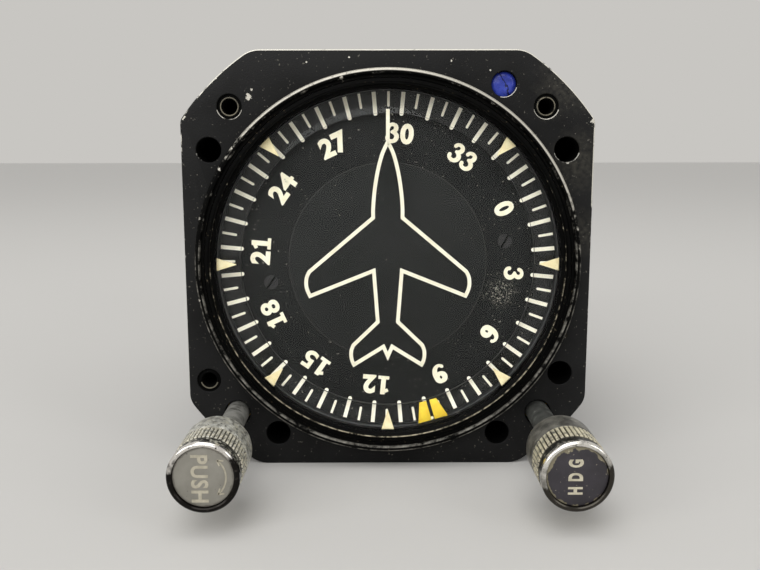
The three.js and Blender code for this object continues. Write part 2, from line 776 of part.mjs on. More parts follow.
// Return spring round the cage shaft, an open coil of round wire
function cageSpring() {
  const front = carriageBack + springWire + running;
  const back = plateFront - springWire - running;
  class Helix extends THREE.Curve {
    getPoint(t, target = new THREE.Vector3()) {
      const angle = 2 * Math.PI * springTurns * t;
      return target.set(
        springCoilRadius * Math.cos(angle), front + (back - front) * t, springCoilRadius * Math.sin(angle));
    }
  }
  const corners = [];
  for (let i = 0; i < springSides; i++) corners.push(polar(springWire, i * 2 * Math.PI / springSides));
  const geometry = new THREE.ExtrudeGeometry(polygon(corners), {
    steps: springTurns * springSteps,
    bevelEnabled: false,
    extrudePath: new Helix(),
  });
  return shifted(solid(geometry), cagePlace);
}
piece('cage_spring', cageSpring(), steel);

// Bell crank: the heel lies behind the push rod, the long arm reaches back towards the gimbals
function cagingArm() {
  const heel = box(
    armPivotReach, idlerReach + armHalf,
    armPivotBack - armHalf, armPivotBack + armHalf,
    -armHalf, armHalf);
  const reach = box(
    armPivotReach - armHalf, armPivotReach + armHalf,
    armPivotBack, armPivotBack + armLength,
    -armHalf, armHalf);
  const boss = rod(armBoss, -armThickness / 2, armThickness / 2).rotate([90, 0, 0]);
  const hole = rod(armPinRadius + slip, -armThickness, armThickness).rotate([90, 0, 0]);
  const at = [armPivotReach, armPivotBack, 0];
  return swing(join([heel, reach, boss.translate(at)]).subtract(hole.translate(at)), cageAngle);
}
piece('caging_arm', cagingArm(), steel);
const earFront = armThickness / 2 + running;
const pinHalf = earFront + armEarThickness;

// Bearing plate: closes the gear case, carries the card shaft, the transfer shaft and, on a pin
// between two ears, the caging arm
function bearingPlate() {
  const ears = [1, -1].map((side) => {
    const near = side * earFront;
    const far = side * pinHalf;
    const ear = box(
      armPivotReach - armBoss, armPivotReach + armBoss,
      armPivotBack - armBoss, plateFront + slip,
      Math.min(near, far), Math.max(near, far));
    return swing(ear, cageAngle);
  });
  const pin = rod(armPinRadius, slip - pinHalf, pinHalf - slip).rotate([90, 0, 0]);
  const armPin = swing(pin.translate([armPivotReach, armPivotBack, 0]), cageAngle);
  const boss = rod(plateBossRadius, plateFront - plateBossLength, plateFront + slip, 0, 0);
  const slot = swing(box(
    armPivotReach + armBoss - armSlotLength, armPivotReach + armBoss,
    plateFront - overrun, plateBack + overrun,
    -armThickness / 2 - running, armThickness / 2 + running), cageAngle);
  const body = join([slab(flangeShape(gearCaseInset), plateFront, plateBack), boss, ...ears, armPin]);
  return cut(body, [
    slot,
    rod(cardBearingRadius + slip, plateFront - plateBossLength - overrun, plateBack + overrun),
    rod(transferRadius + slip, plateFront - overrun, plateBack + overrun, 0, -transferDrop),
    ...caseScrewPlaces.map(([x, z]) => (
      rod(caseScrewRadius + slip, plateFront - overrun, plateBack + overrun, x, z))),
  ]);
}
piece('bearing_plate', bearingPlate(), aluminium);
const cardBearing = ring(cardBearingRadius, cardShaftRadius + slip, plateFront - plateBossLength, plateBack);
piece('card_bearing', cardBearing, steel);

// Transfer shaft: a pinion under the card gear in front, a pinion under the azimuth gear behind
function transferShaft() {
  const front = cardGearFront - slip;
  const cardPhase = Math.PI / 2 + Math.PI / cardPinionTeeth;
  const crownPhase = Math.PI / 2 + Math.PI / crownPinionTeeth;
  return join([
    rod(transferRadius, front, tailBack),
    slab(gearShape(cardPinionTeeth, gearModule, cardPhase), cardGearFront, cardGearFront + gearWidth),
    slab(gearShape(crownPinionTeeth, gearModule, crownPhase),
      crownPinionBack - gearWidth / 2, crownPinionBack + gearWidth / 2),
  ]);
}
piece('transfer_shaft', shifted(transferShaft(), [0, -transferDrop]), steel);

// Gimbal frame: a ring with bearing bosses above and below, on four arms from the bearing plate
function gimbalFrame() {
  const front = gimbalBack - frameWidth / 2;
  const back = gimbalBack + frameWidth / 2;
  const hoop = ring(frameRadius, frameBore, front, back, round);
  const bosses = [1, -1].map((side) => {
    const near = side * frameBossInner;
    const far = side * (frameBore + frameRadius) / 2;
    return box(-frameBossHalf, frameBossHalf, front, back, Math.min(near, far), Math.max(near, far));
  });
  const arm = box(
    frameRadius - frameArmDepth, frameRadius - running,
    plateBack, front + slip,
    -frameArmHalf, frameArmHalf);
  const arms = frameArmAngles.map((angle) => swing(arm, angle));
  const foot = box(
    -tailBearingHalf, tailBearingHalf,
    tailBack - tailBearingLength, front + slip,
    -(frameBore + frameRadius) / 2, -transferDrop - transferRadius - running);
  const tail = box(
    -tailBearingHalf, tailBearingHalf,
    tailBack - tailBearingLength, tailBack,
    -frameBore, -transferDrop + tailBearingHalf - running);
  const height = frameRadius * 2;
  const bearingHole = rod(pivotBearingRadius + slip, 0, height).rotate([90, 0, 0]);
  const holes = [
    rod(transferRadius + slip, tailBack - tailBearingLength - overrun, tailBack + overrun, 0, -transferDrop),
    bearingHole.translate([0, gimbalBack, frameBossInner - overrun]),
    bearingHole.translate([0, gimbalBack, overrun - frameBossInner - height]),
  ];
  const clipped = join([hoop, ...bosses, ...arms, foot, tail]);
  const keep = rod(frameRadius, plateBack, back, 0, 0, round);
  return cut(clipped, holes).intersect(keep);
}
piece('gimbal_frame', gimbalFrame(), aluminium);

function pivotBearing(side) {
  const length = pivotLength - 3 * running;
  const upright = ring(pivotBearingRadius, pivotRadius + slip, -length / 2, length / 2).rotate([90, 0, 0]);
  return upright.translate([0, gimbalBack, side * (frameBossInner + running + length / 2)]);
}
piece('upper_bearing', pivotBearing(1), steel);
piece('lower_bearing', pivotBearing(-1), steel);

// Outer gimbal: an upright ring with a pivot pin above and below
function outerGimbal() {
  const half = outerRingWidth / 2;
  const hoop = ring(outerRingRadius, outerRingBore, gimbalBack - half, gimbalBack + half, round);
  const pinLow = outerRingRadius - overrun;
  const pin = rod(pivotRadius, 0, pivotLength + overrun).rotate([90, 0, 0]);
  const seat = tiltBearingRadius + slip;
  const across = 2 * outerRingRadius;
  const tiltHole = rod(seat, -across, across).rotate([0, 0, 90]).translate([0, gimbalBack, 0]);
  return join([
    hoop,
    pin.translate([0, gimbalBack, pinLow]),
    pin.translate([0, gimbalBack, -pinLow - pivotLength - overrun]),
  ]).subtract(tiltHole);
}
piece('outer_gimbal', outerGimbal(), aluminium);

// Azimuth gear: a crown gear with its teeth down, notched to sit on the outer gimbal ring
function azimuthGear() {
  const pitchZ = -crownPitchDrop;
  const plateLow = pitchZ + gearModule * dedendumShare;
  const tipLow = pitchZ - gearModule * addendumShare;
  const outer = crownRadius + crownFace / 2;
  const plate = ring(outer, crownBore, 0, crownPlate, round).rotate([90, 0, 0]).translate([0, 0, plateLow]);
  const pitch = Math.PI * gearModule;
  const toothShape = polygon([
    [-pitch * toothRootShare / 2, plateLow + slip],
    [-pitch * toothTipShare / 2, tipLow],
    [pitch * toothTipShare / 2, tipLow],
    [pitch * toothRootShare / 2, plateLow + slip],
  ]);
  const tooth = slab(toothShape, -crownRadius - crownFace / 2 + slip, -crownRadius + crownFace / 2);
  const teeth = [];
  for (let i = 0; i < crownTeeth; i++) teeth.push(tooth.rotate([0, 0, i * 360 / crownTeeth]));
  const gap = outerRingWidth / 2 + slip;
  const notches = ring(outerRingRadius + slip, outerRingBore - slip, -gap, gap, round);
  return join([plate, ...teeth]).subtract(notches).translate([0, gimbalBack, 0]);
}
piece('azimuth_gear', azimuthGear(), brass);

function tiltBearing(side) {
  const width = outerRingRadius - outerRingBore - running;
  const body = ring(tiltBearingRadius, tiltPinRadius + slip, -width / 2, width / 2).rotate([0, 0, 90]);
  return body.translate([side * (outerRingRadius + outerRingBore) / 2, gimbalBack, 0]);
}
piece('tilt_bearing_left', tiltBearing(-1), steel);
piece('tilt_bearing_right', tiltBearing(1), steel);

// Inner gimbal: a level ring with tilt pins left and right, and the rotor bearings front and rear
function innerGimbal() {
  const half = innerRingWidth / 2;
  const hoop = ring(innerRingRadius, innerRingBore, -half, half, round).rotate([90, 0, 0]);
  const reach = outerRingRadius - running;
  const start = (innerRingRadius + innerRingBore) / 2;
  const pins = [rod(tiltPinRadius, start, reach), rod(tiltPinRadius, -reach, -start)];
  const bearingHole = rod(rotorBearingRadius + slip, -innerRingRadius - overrun, innerRingRadius + overrun);
  const across = pins.map((pin) => pin.rotate([0, 0, 90]));
  return join([hoop, ...across]).subtract(bearingHole).translate([0, gimbalBack, 0]);
}
piece('inner_gimbal', innerGimbal(), brass);

function rotorBearing(side) {
  const width = innerRingRadius - innerRingBore - running;
  const body = ring(rotorBearingRadius, axleRadius + slip, -width / 2, width / 2);
  return body.translate([0, gimbalBack + side * (innerRingRadius + innerRingBore) / 2, 0]);
}
piece('rotor_bearing_front', rotorBearing(-1), steel);
piece('rotor_bearing_rear', rotorBearing(1), steel);

// Rotor: heavy rim on a thin web, with buckets cut round the rim for the air jet
function rotor() {
  const half = rotorWidth / 2;
  const web = rotorWeb / 2;
  const body = turned([
    [axleRadius + slip, -half],
    [rotorHub, -half],
    [rotorHub, -web],
    [rotorRimBore, -web],
    [rotorRimBore, -half],
    [rotorRadius, -half],
    [rotorRadius, half],
    [rotorRimBore, half],
    [rotorRimBore, web],
    [rotorHub, web],
    [rotorHub, half],
    [axleRadius + slip, half],
  ], round);
  const buckets = [];
  for (let i = 0; i < bucketCount; i++) {
    const bucket = box(
      rotorRadius - bucketDepth, rotorRadius + overrun,
      -bucketLength / 2, bucketLength / 2,
      -bucketWidth / 2, bucketWidth / 2);
    buckets.push(swing(bucket, i * 2 * Math.PI / bucketCount));
  }
  return cut(body, buckets).translate([0, gimbalBack, 0]);
}
piece('rotor', rotor(), brass);
const axleHalf = innerRingRadius - running;
piece('rotor_axle', rod(axleRadius, gimbalBack - axleHalf, gimbalBack + axleHalf), steel);

// Case shell with a front flange of the gear case outline and an inner lip for the rear cover
function caseShell() {
  const flange = slab(flangeShape(gearCaseInset), plateBack, caseFlangeBack);
  const can = rod(caseRadius, plateBack, caseBack, 0, 0, round);
  const rearTapped = rearScrewPlaces.map(([x, z]) => (
    rod(rearScrewRadius + slip, caseBack - caseLipLength - overrun, caseBack + overrun, x, z)));
  return cut(flange.add(can), [
    rod(caseBore, plateBack - overrun, caseBack - caseLipLength, 0, 0, round),
    rod(caseLipBore, plateBack - overrun, caseBack + overrun, 0, 0, round),
    ...caseScrewPlaces.map(([x, z]) => (
      rod(caseScrewRadius + slip, plateBack - overrun, caseFlangeBack + overrun, x, z))),
    ...rearTapped,
  ]);
}

function screw(radius, headRadius, headLength, headFront, gripFront, [x, z]) {
  const head = rod(headRadius, headFront, headFront + headLength, x, z);
  const shank = rod(radius, gripFront, headFront + slip, x, z, fine);
  const slot = box(
    x - 2 * headRadius, x + 2 * headRadius,
    headFront + headLength / 2, headFront + headLength + overrun,
    z - headRadius / 6, z + headRadius / 6);
  return head.add(shank).subtract(slot);
}

const rearScrewPlaces = [];
for (let i = 0; i < rearScrewCount; i++) {
  rearScrewPlaces.push(polar(rearScrewReach, Math.PI / 2 + i * 2 * Math.PI / rearScrewCount));
}
piece('case_shell', caseShell(), blackPaint);
caseScrewPlaces.forEach((place, i) => {
  const grip = plateFront - caseScrewGrip;
  const body = screw(caseScrewRadius, caseScrewHead, caseScrewHeadLength, caseFlangeBack, grip, place);
  piece(`case_screw_${i + 1}`, body, steel);
});

// Rear cover with its screws, the air inlet above and the vacuum port below
const portPlaces = { air_inlet_port: [0, portOffset], vacuum_port: [0, -portOffset] };
const rearCoverHoles = [
  ...rearScrewPlaces.map(([x, z]) => (
    rod(rearScrewRadius + slip, caseBack - overrun, rearCoverBack + overrun, x, z))),
  ...Object.values(portPlaces).map(([x, z]) => (
    rod(portSpigotRadius + slip, caseBack - overrun, rearCoverBack + overrun, x, z))),
];
piece('rear_cover', cut(rod(caseRadius, caseBack, rearCoverBack, 0, 0, round), rearCoverHoles), blackPaint);
rearScrewPlaces.forEach((place, i) => {
  const grip = caseBack - caseLipLength + overrun;
  const body = screw(rearScrewRadius, rearScrewHead, rearScrewHeadLength, rearCoverBack, grip, place);
  piece(`rear_screw_${i + 1}`, body, steel);
});
for (const [name, [x, z]] of Object.entries(portPlaces)) {
  const body = join([
    rod(portSpigotRadius, caseBack, rearCoverBack + slip, x, z),
    rod(portHexRadius, rearCoverBack, rearCoverBack + portHexLength, x, z, 6),
    rod(portRadius, rearCoverBack + portHexLength - slip, portBack, x, z),
  ]);
  piece(name, body.subtract(rod(portBore, caseBack - overrun, portBack + overrun, x, z)), aluminium);
}
const [filterX, filterZ] = portPlaces.air_inlet_port;
piece('air_filter', rod(filterRadius, caseBack - filterLength, caseBack, filterX, filterZ), feltGrey);

// The whole instrument stands on its flange, with its box centred on the origin
assembly.position.set(0, (knobFace - portBack) / 2, flangeHeight / 2);
const instrument = new THREE.Group();
instrument.add(assembly);

export default instrument;
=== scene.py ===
import math

import bmesh
import bpy
from mathutils import Matrix, Vector, noise


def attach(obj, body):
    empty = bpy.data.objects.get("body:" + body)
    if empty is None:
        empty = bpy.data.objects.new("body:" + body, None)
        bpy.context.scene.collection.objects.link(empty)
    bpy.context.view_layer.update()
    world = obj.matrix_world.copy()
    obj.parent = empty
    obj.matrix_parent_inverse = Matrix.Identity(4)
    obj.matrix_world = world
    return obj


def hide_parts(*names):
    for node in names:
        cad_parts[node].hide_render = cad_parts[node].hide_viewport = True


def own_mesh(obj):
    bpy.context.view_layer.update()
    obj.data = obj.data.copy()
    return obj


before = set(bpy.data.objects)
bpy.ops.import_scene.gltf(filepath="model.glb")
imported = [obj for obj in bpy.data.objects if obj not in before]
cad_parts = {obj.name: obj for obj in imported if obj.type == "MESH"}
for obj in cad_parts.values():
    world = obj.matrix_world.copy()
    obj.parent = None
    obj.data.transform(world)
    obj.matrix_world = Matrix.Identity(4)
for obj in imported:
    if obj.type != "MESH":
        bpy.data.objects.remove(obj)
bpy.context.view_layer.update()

mm = 0.001

# pieces are drawn in millimetres about the dial axis, y counted back from the flange's face
dial = {"front": -43.25, "height": 42.45}
smooth = 128
fineRound = 192
sharpAngle = math.radians(32)
knobReach = 44.45
corner = math.radians(45)
hair = 0.003  # set between two fronts that would otherwise be level

print("frame loaded")


def hexColor(text):
    parts = [int(text[i:i + 2], 16) / 255 for i in (1, 3, 5)]
    return tuple(p / 12.92 if p <= 0.04045 else ((p + 0.055) / 1.055) ** 2.4 for p in parts) + (1.0,)


def polar(radius, angle):
    return radius * math.cos(angle), radius * math.sin(angle)


cagePlace = polar(knobReach, -math.pi + corner)
hdgPlace = polar(knobReach, -corner)
housing = {"width": 82.55, "height": 84.9, "corner": 50.3, "flange": 4.0, "inset": 0.8, "back": 28.0,
           "soften": {"top": 6.0, "upperSide": 2.4, "lowerSide": 4.5, "bottom": 6.0}, "lip": 35.0, "lipBack": 1.7,
           "seat": 36.35, "cavity": 38.2, "cavityFront": 5.5, "wear": 0.24, "chamfer": 0.14, "hole": 2.5,
           "holeReach": 42.5, "holeTurn": math.radians(12.3), "holeDepth": 14.0, "insertHole": 2.45,
           "insertDepth": 10.0, "stemHole": 2.65, "lowInsert": math.radians(33.3), "gearHole": 3.7, "idlerHole": 3.9,
           "idlerReach": 39.05, "mouth": 0.4, "mouthDepth": 0.35, "rimDepth": 0.6, "litBelow": 0.8, "litRight": 0.6}
bigHoles = [polar(housing["holeReach"], angle) for angle in (
    math.pi - corner + housing["holeTurn"], corner - housing["holeTurn"], -math.pi + corner + housing["holeTurn"],
    -corner - housing["holeTurn"], -corner + housing["holeTurn"])]
sealPlace = polar(housing["holeReach"], corner + housing["holeTurn"])
insertPlaces = {
    "insert_upper_left": polar(knobReach, math.pi - corner),
    "insert_upper_right": polar(knobReach, corner),
    "insert_lower_left": polar(knobReach, -math.pi + housing["lowInsert"]),
}
caseScrewPlaces = [insertPlaces["insert_upper_left"], insertPlaces["insert_upper_right"], bigHoles[2], bigHoles[3]]


# adds a node with its settings and links; an input is a value, a socket, or a node whose first output is meant
def addNode(tree, kind, inputs=None, **settings):
    node = tree.nodes.new(kind)
    for name, value in settings.items():
        setattr(node, name, value)
    for name, value in (inputs or {}).items():
        if isinstance(value, bpy.types.Node):
            value = value.outputs[0]
        if isinstance(value, bpy.types.NodeSocket):
            tree.links.new(value, node.inputs[name])
        else:
            node.inputs[name].default_value = value
    return node


def startMaterial(name):
    material = bpy.data.materials.new(name)
    material.use_nodes = True
    tree = material.node_tree
    tree.nodes.clear()
    coords = addNode(tree, "ShaderNodeTexCoord").outputs["Object"]
    return material, tree, coords


# ends a material with its surface and the relief on it: a height, how strong it is and how deep in millimetres
def endMaterial(tree, surface, height, strength, depth, sunk=False):
    bump = addNode(tree, "ShaderNodeBump", {"Height": height, "Strength": strength, "Distance": depth * mm},
                   invert=sunk)
    shader = addNode(tree, "ShaderNodeBsdfPrincipled", {**surface, "Normal": bump.outputs["Normal"]})
    addNode(tree, "ShaderNodeOutputMaterial", {"Surface": shader.outputs["BSDF"]})


# coats of colour laid one over another, each where its mask is 1
def layers(tree, base, *coats):
    color = hexColor(base)
    for mask, over in coats:
        mixed = addNode(tree, "ShaderNodeMix", {0: mask, 6: color, 7: hexColor(over)}, data_type="RGBA")
        color = mixed.outputs[2]
    return color


# cloudy noise of a size in millimetres, 0 below one level and its most above the other; the most may be a mask
def speckle(tree, coords, size, low, high, detail=4.0, most=1.0):
    cloud = addNode(tree, "ShaderNodeTexNoise", {"Vector": coords, "Scale": 1 / (size * mm), "Detail": detail})
    reach = addNode(tree, "ShaderNodeMapRange", {
        "Value": cloud.outputs["Fac"], "From Min": low, "From Max": high, "To Max": most})
    return reach.outputs["Result"]


# coarse ragged patches of a size in millimetres, moved by a slope, 0 below one level and its most above the other;
# they make wear, dirt and painted highlights
def rubbed(tree, coords, size, ragged, slope, low, high, most=1.0):
    cloud = addNode(tree, "ShaderNodeTexNoise", {
        "Vector": coords, "Scale": 1 / (size * mm), "Detail": 10.0, "Roughness": ragged}).outputs["Fac"]
    moved = addNode(tree, "ShaderNodeMath", {0: cloud, 1: slope}, operation="ADD")
    reach = addNode(tree, "ShaderNodeMapRange", {"Value": moved, "From Min": low, "From Max": high, "To Max": most})
    return reach.outputs["Result"]


# how far a point lies from an axis that runs front to back through a place on the dial
def axisDistance(tree, coords, place=(0, 0)):
    centre = (-place[0] * mm, 0, -(dial["height"] + place[1]) * mm)
    moved = addNode(tree, "ShaderNodeMapping", {"Vector": coords, "Location": centre})
    flat = addNode(tree, "ShaderNodeVectorMath", {0: moved.outputs["Vector"], 1: (1, 0, 1)}, operation="MULTIPLY")
    return addNode(tree, "ShaderNodeVectorMath", {0: flat.outputs["Vector"]}, operation="LENGTH").outputs["Value"]


# its most between two distances in millimetres, falling to 0 over an edge on both sides
def ringMask(tree, distance, inner, outer, edge=0.15, most=1.0):
    rise = addNode(tree, "ShaderNodeMapRange", {
        "Value": distance, "From Min": (inner - edge) * mm, "From Max": inner * mm, "To Max": most})
    fall = addNode(tree, "ShaderNodeMapRange", {
        "Value": distance, "From Min": outer * mm, "From Max": (outer + edge) * mm, "To Min": rise, "To Max": 0.0})
    return fall.outputs["Result"]


# goes from one value at a height above the floor to another higher up, in millimetres; lean raises it to the right
def heightShare(tree, coords, low, high, least=0.0, most=1.0, lean=0.0):
    height = addNode(tree, "ShaderNodeVectorMath", {0: coords, 1: (lean, 0, 1)}, operation="DOT_PRODUCT")
    share = addNode(tree, "ShaderNodeMapRange", {
        "Value": height.outputs["Value"], "From Min": low * mm, "From Max": high * mm,
        "To Min": least, "To Max": most})
    return share.outputs["Result"]


# 1 ahead of a depth behind the flange's face, 0 behind it
def aheadOf(tree, coords, depth):
    place = addNode(tree, "ShaderNodeSeparateXYZ", {"Vector": coords}).outputs["Y"]
    return addNode(tree, "ShaderNodeMath", {0: place, 1: (dial["front"] + depth) * mm},
                   operation="LESS_THAN").outputs["Value"]


# a ragged spot round a place on the dial: its most inside its radius, 0 outside
def raggedSpot(tree, coords, place, radius, soft, most=1.0):
    cloud = addNode(tree, "ShaderNodeTexNoise", {
        "Vector": coords, "Scale": 1 / (radius * 1.1 * mm), "Detail": 6.0}).outputs["Fac"]
    ragged = addNode(tree, "ShaderNodeMath", {0: cloud, 1: radius * 3.2 * mm, 2: -radius * 1.6 * mm},
                     operation="MULTIPLY_ADD")
    edge = addNode(tree, "ShaderNodeMath", {0: axisDistance(tree, coords, place), 1: ragged}, operation="ADD")
    spot = addNode(tree, "ShaderNodeMapRange", {
        "Value": edge, "From Min": radius * mm, "From Max": (radius + soft) * mm, "To Min": most, "To Max": 0.0})
    return spot.outputs["Result"]


# stoved enamel on a light alloy casting: satin black, faintly mottled, with dust and small chips to bare metal
def stovedEnamel(name, look, chips=(), hazes=(), wearMask=None):
    material, tree, coords = startMaterial(name)
    mottle = speckle(tree, coords, look["mottle"], 0.35, 0.7)
    face = aheadOf(tree, coords, 0.6)
    coats = [(mottle, look["light"])]
    for place, radius in hazes:
        spot = raggedSpot(tree, coords, place, radius * 0.4, radius, face)
        grit = speckle(tree, coords, 0.9, 0.3, 0.8, 9.0, 0.8)
        haze = addNode(tree, "ShaderNodeMath", {0: spot, 1: grit}, operation="MULTIPLY")
        coats.append((haze, look["haze"]))
    wear = speckle(tree, coords, look["chipSize"], look["chipLevel"], look["chipLevel"] + 0.015, 6.0)
    for place, radius in chips:
        chip = raggedSpot(tree, coords, place, radius, 0.1, face)
        wear = addNode(tree, "ShaderNodeMath", {0: wear, 1: chip}, operation="MAXIMUM")
    if wearMask is not None:
        wear = addNode(tree, "ShaderNodeMath", {0: wear, 1: wearMask(tree, coords)}, operation="MAXIMUM")
    dust = speckle(tree, coords, look["speck"], 0.70, 0.74, 2.0)
    color = layers(tree, look["base"], *coats, (dust, look["dust"]), (wear, look["bare"]))
    rough = addNode(tree, "ShaderNodeMapRange", {
        "Value": mottle, "To Min": look["rough"], "To Max": look["rough"] + 0.12})
    metal = addNode(tree, "ShaderNodeMath", {0: wear, 1: 0.6}, operation="MULTIPLY")
    grain = speckle(tree, coords, look["grain"], 0.2, 0.8, 3.0)
    height = addNode(tree, "ShaderNodeMath", {0: grain, 1: wear}, operation="SUBTRACT")
    endMaterial(tree, {"Base Color": color, "Roughness": rough, "Metallic": metal,
                       "Specular IOR Level": look["gloss"]}, height, look["bump"], 0.06)
    return material


# turned or plated metal: fine rings as far apart as a lathe's feed, dull patches of handling and dirt
def turnedMetal(name, look, place=(0, 0)):
    material, tree, coords = startMaterial(name)
    rings = addNode(tree, "ShaderNodeTexNoise", {
        "W": axisDistance(tree, coords, place), "Scale": 1 / (look["cut"] * mm), "Detail": 2.0},
                    noise_dimensions="1D")
    patch = speckle(tree, coords, look["patch"], 0.38, 0.66, 6.0)
    dirt = speckle(tree, coords, look["dirtSize"], 0.62 - look["dirt"], 0.72 - look["dirt"], 8.0)
    color = layers(tree, look["base"], (patch, look["dull"]), (dirt, look["soil"]))
    rough = addNode(tree, "ShaderNodeMapRange", {
        "Value": patch, "To Min": look["rough"], "To Max": look["rough"] + 0.18})
    metal = addNode(tree, "ShaderNodeMapRange", {"Value": dirt, "To Min": look["metal"], "To Max": 0.2})
    endMaterial(tree, {"Base Color": color, "Roughness": rough, "Metallic": metal}, rings, look["bump"], 0.02)
    return material


# matt paint put on by screen or stencil: slightly uneven, yellowed with age
def markingPaint(name, look):
    material, tree, coords = startMaterial(name)
    age = speckle(tree, coords, look["patch"], 0.35, 0.7, 5.0)
    pit = speckle(tree, coords, look["pit"], 0.68, 0.74, 3.0)
    color = layers(tree, look["base"], (age, look["aged"]), (pit, look["soil"]))
    endMaterial(tree, {"Base Color": color, "Roughness": look["rough"], "Specular IOR Level": look.get("gloss", 0.5)},
                age, 0.15, 0.02)
    return material


# clear sheet, coated so that it mirrors little of the room; lamps shine through it, as through real glass
def clearSheet(name, look):
    material, tree, coords = startMaterial(name)
    smear = speckle(tree, coords, look["smear"], 0.4, 0.75, 5.0)
    bump = addNode(tree, "ShaderNodeBump", {"Height": smear, "Strength": 0.01, "Distance": 0.01 * mm})
    body = addNode(tree, "ShaderNodeBsdfPrincipled", {
        "Base Color": hexColor(look["tint"]), "Roughness": look["rough"], "IOR": look["ior"],
        "Transmission Weight": 1.0, "Normal": bump.outputs["Normal"]})
    through = addNode(tree, "ShaderNodeBsdfTransparent")
    shadow = addNode(tree, "ShaderNodeLightPath").outputs["Is Shadow Ray"]
    shader = addNode(tree, "ShaderNodeMixShader", {0: shadow, 1: body.outputs["BSDF"], 2: through.outputs["BSDF"]})
    addNode(tree, "ShaderNodeOutputMaterial", {"Surface": shader.outputs["Shader"]})
    return material


enamelLook = {"base": "#0f0f0f", "light": "#181818", "dust": "#605d55", "bare": "#c9c5ba", "haze": "#413f38",
              "mottle": 9.0, "speck": 0.5, "chipSize": 1.9, "chipLevel": 0.778, "rough": 0.46, "grain": 0.3,
              "bump": 0.4, "gloss": 0.16}
bezelLook = dict(enamelLook, base="#040404", light="#080807", dust="#4a4336", bare="#bdb9ae", mottle=3.0, rough=0.4,
                 chipSize=1.2, gloss=0.04)
steelLook = {"base": "#b4b5b5", "dull": "#8b8b89", "soil": "#4a463f", "cut": 0.12, "patch": 3.0, "dirtSize": 1.4,
             "dirt": 0.02, "rough": 0.28, "metal": 1.0, "bump": 0.3}
bezelBands = {"shoulder": 38.7, "shoulderIn": 38.24, "crest": 37.78, "crestIn": 37.56, "line": 38.5, "lineIn": 38.36,
             "front": -3.15, "ledge": 35.66, "ledgeIn": 35.56}


# the bezel's shoulder is bright in patches at the top and down the right, partly worn and partly a painted highlight
# from the light above; fine worn lines go all round
def bezelWear(tree, coords):
    distance = axisDistance(tree, coords)
    shoulder = ringMask(tree, distance, bezelBands["shoulderIn"], bezelBands["shoulder"] + 1, 0.2)
    crest = ringMask(tree, distance, bezelBands["crestIn"], bezelBands["crest"], 0.1, 0.6)
    line = ringMask(tree, distance, bezelBands["lineIn"], bezelBands["line"], 0.1, 0.6)
    lines = addNode(tree, "ShaderNodeMath", {0: crest, 1: line}, operation="MAXIMUM")
    bright = rubbed(tree, coords, 2.6, 0.72, heightShare(tree, coords, 50, 68, -0.14, 0.26, 0.22), 0.55, 0.68,
                    shoulder)
    faint = rubbed(tree, coords, 2.6, 0.72, heightShare(tree, coords, 20, 62, 0.06, -0.06), 0.48, 0.70, lines)
    worn = addNode(tree, "ShaderNodeMath", {0: bright, 1: faint}, operation="MAXIMUM")
    front = aheadOf(tree, coords, bezelBands["front"])
    return addNode(tree, "ShaderNodeMath", {0: worn, 1: front}, operation="MULTIPLY").outputs["Value"]


# dirt packed along the foot of the ring's inner ledge, brown and grainy
def ledgeDirt(tree, coords):
    ledge = ringMask(tree, axisDistance(tree, coords), bezelBands["ledgeIn"], bezelBands["ledge"], 0.08)
    return rubbed(tree, coords, 1.1, 0.75, heightShare(tree, coords, 20, 66, 0.08, -0.12), 0.5, 0.66, ledge)


# the flange's outer edge: bare metal in patches, most along the top and the upper corners, less below; partly wear,
# partly a painted highlight where the top edge catches the light from above
def flangeEdgeWear(tree, coords):
    return rubbed(tree, coords, 4.5, 0.7, heightShare(tree, coords, 45, 84, -0.09, 0.2, 0.2), 0.52, 0.6)


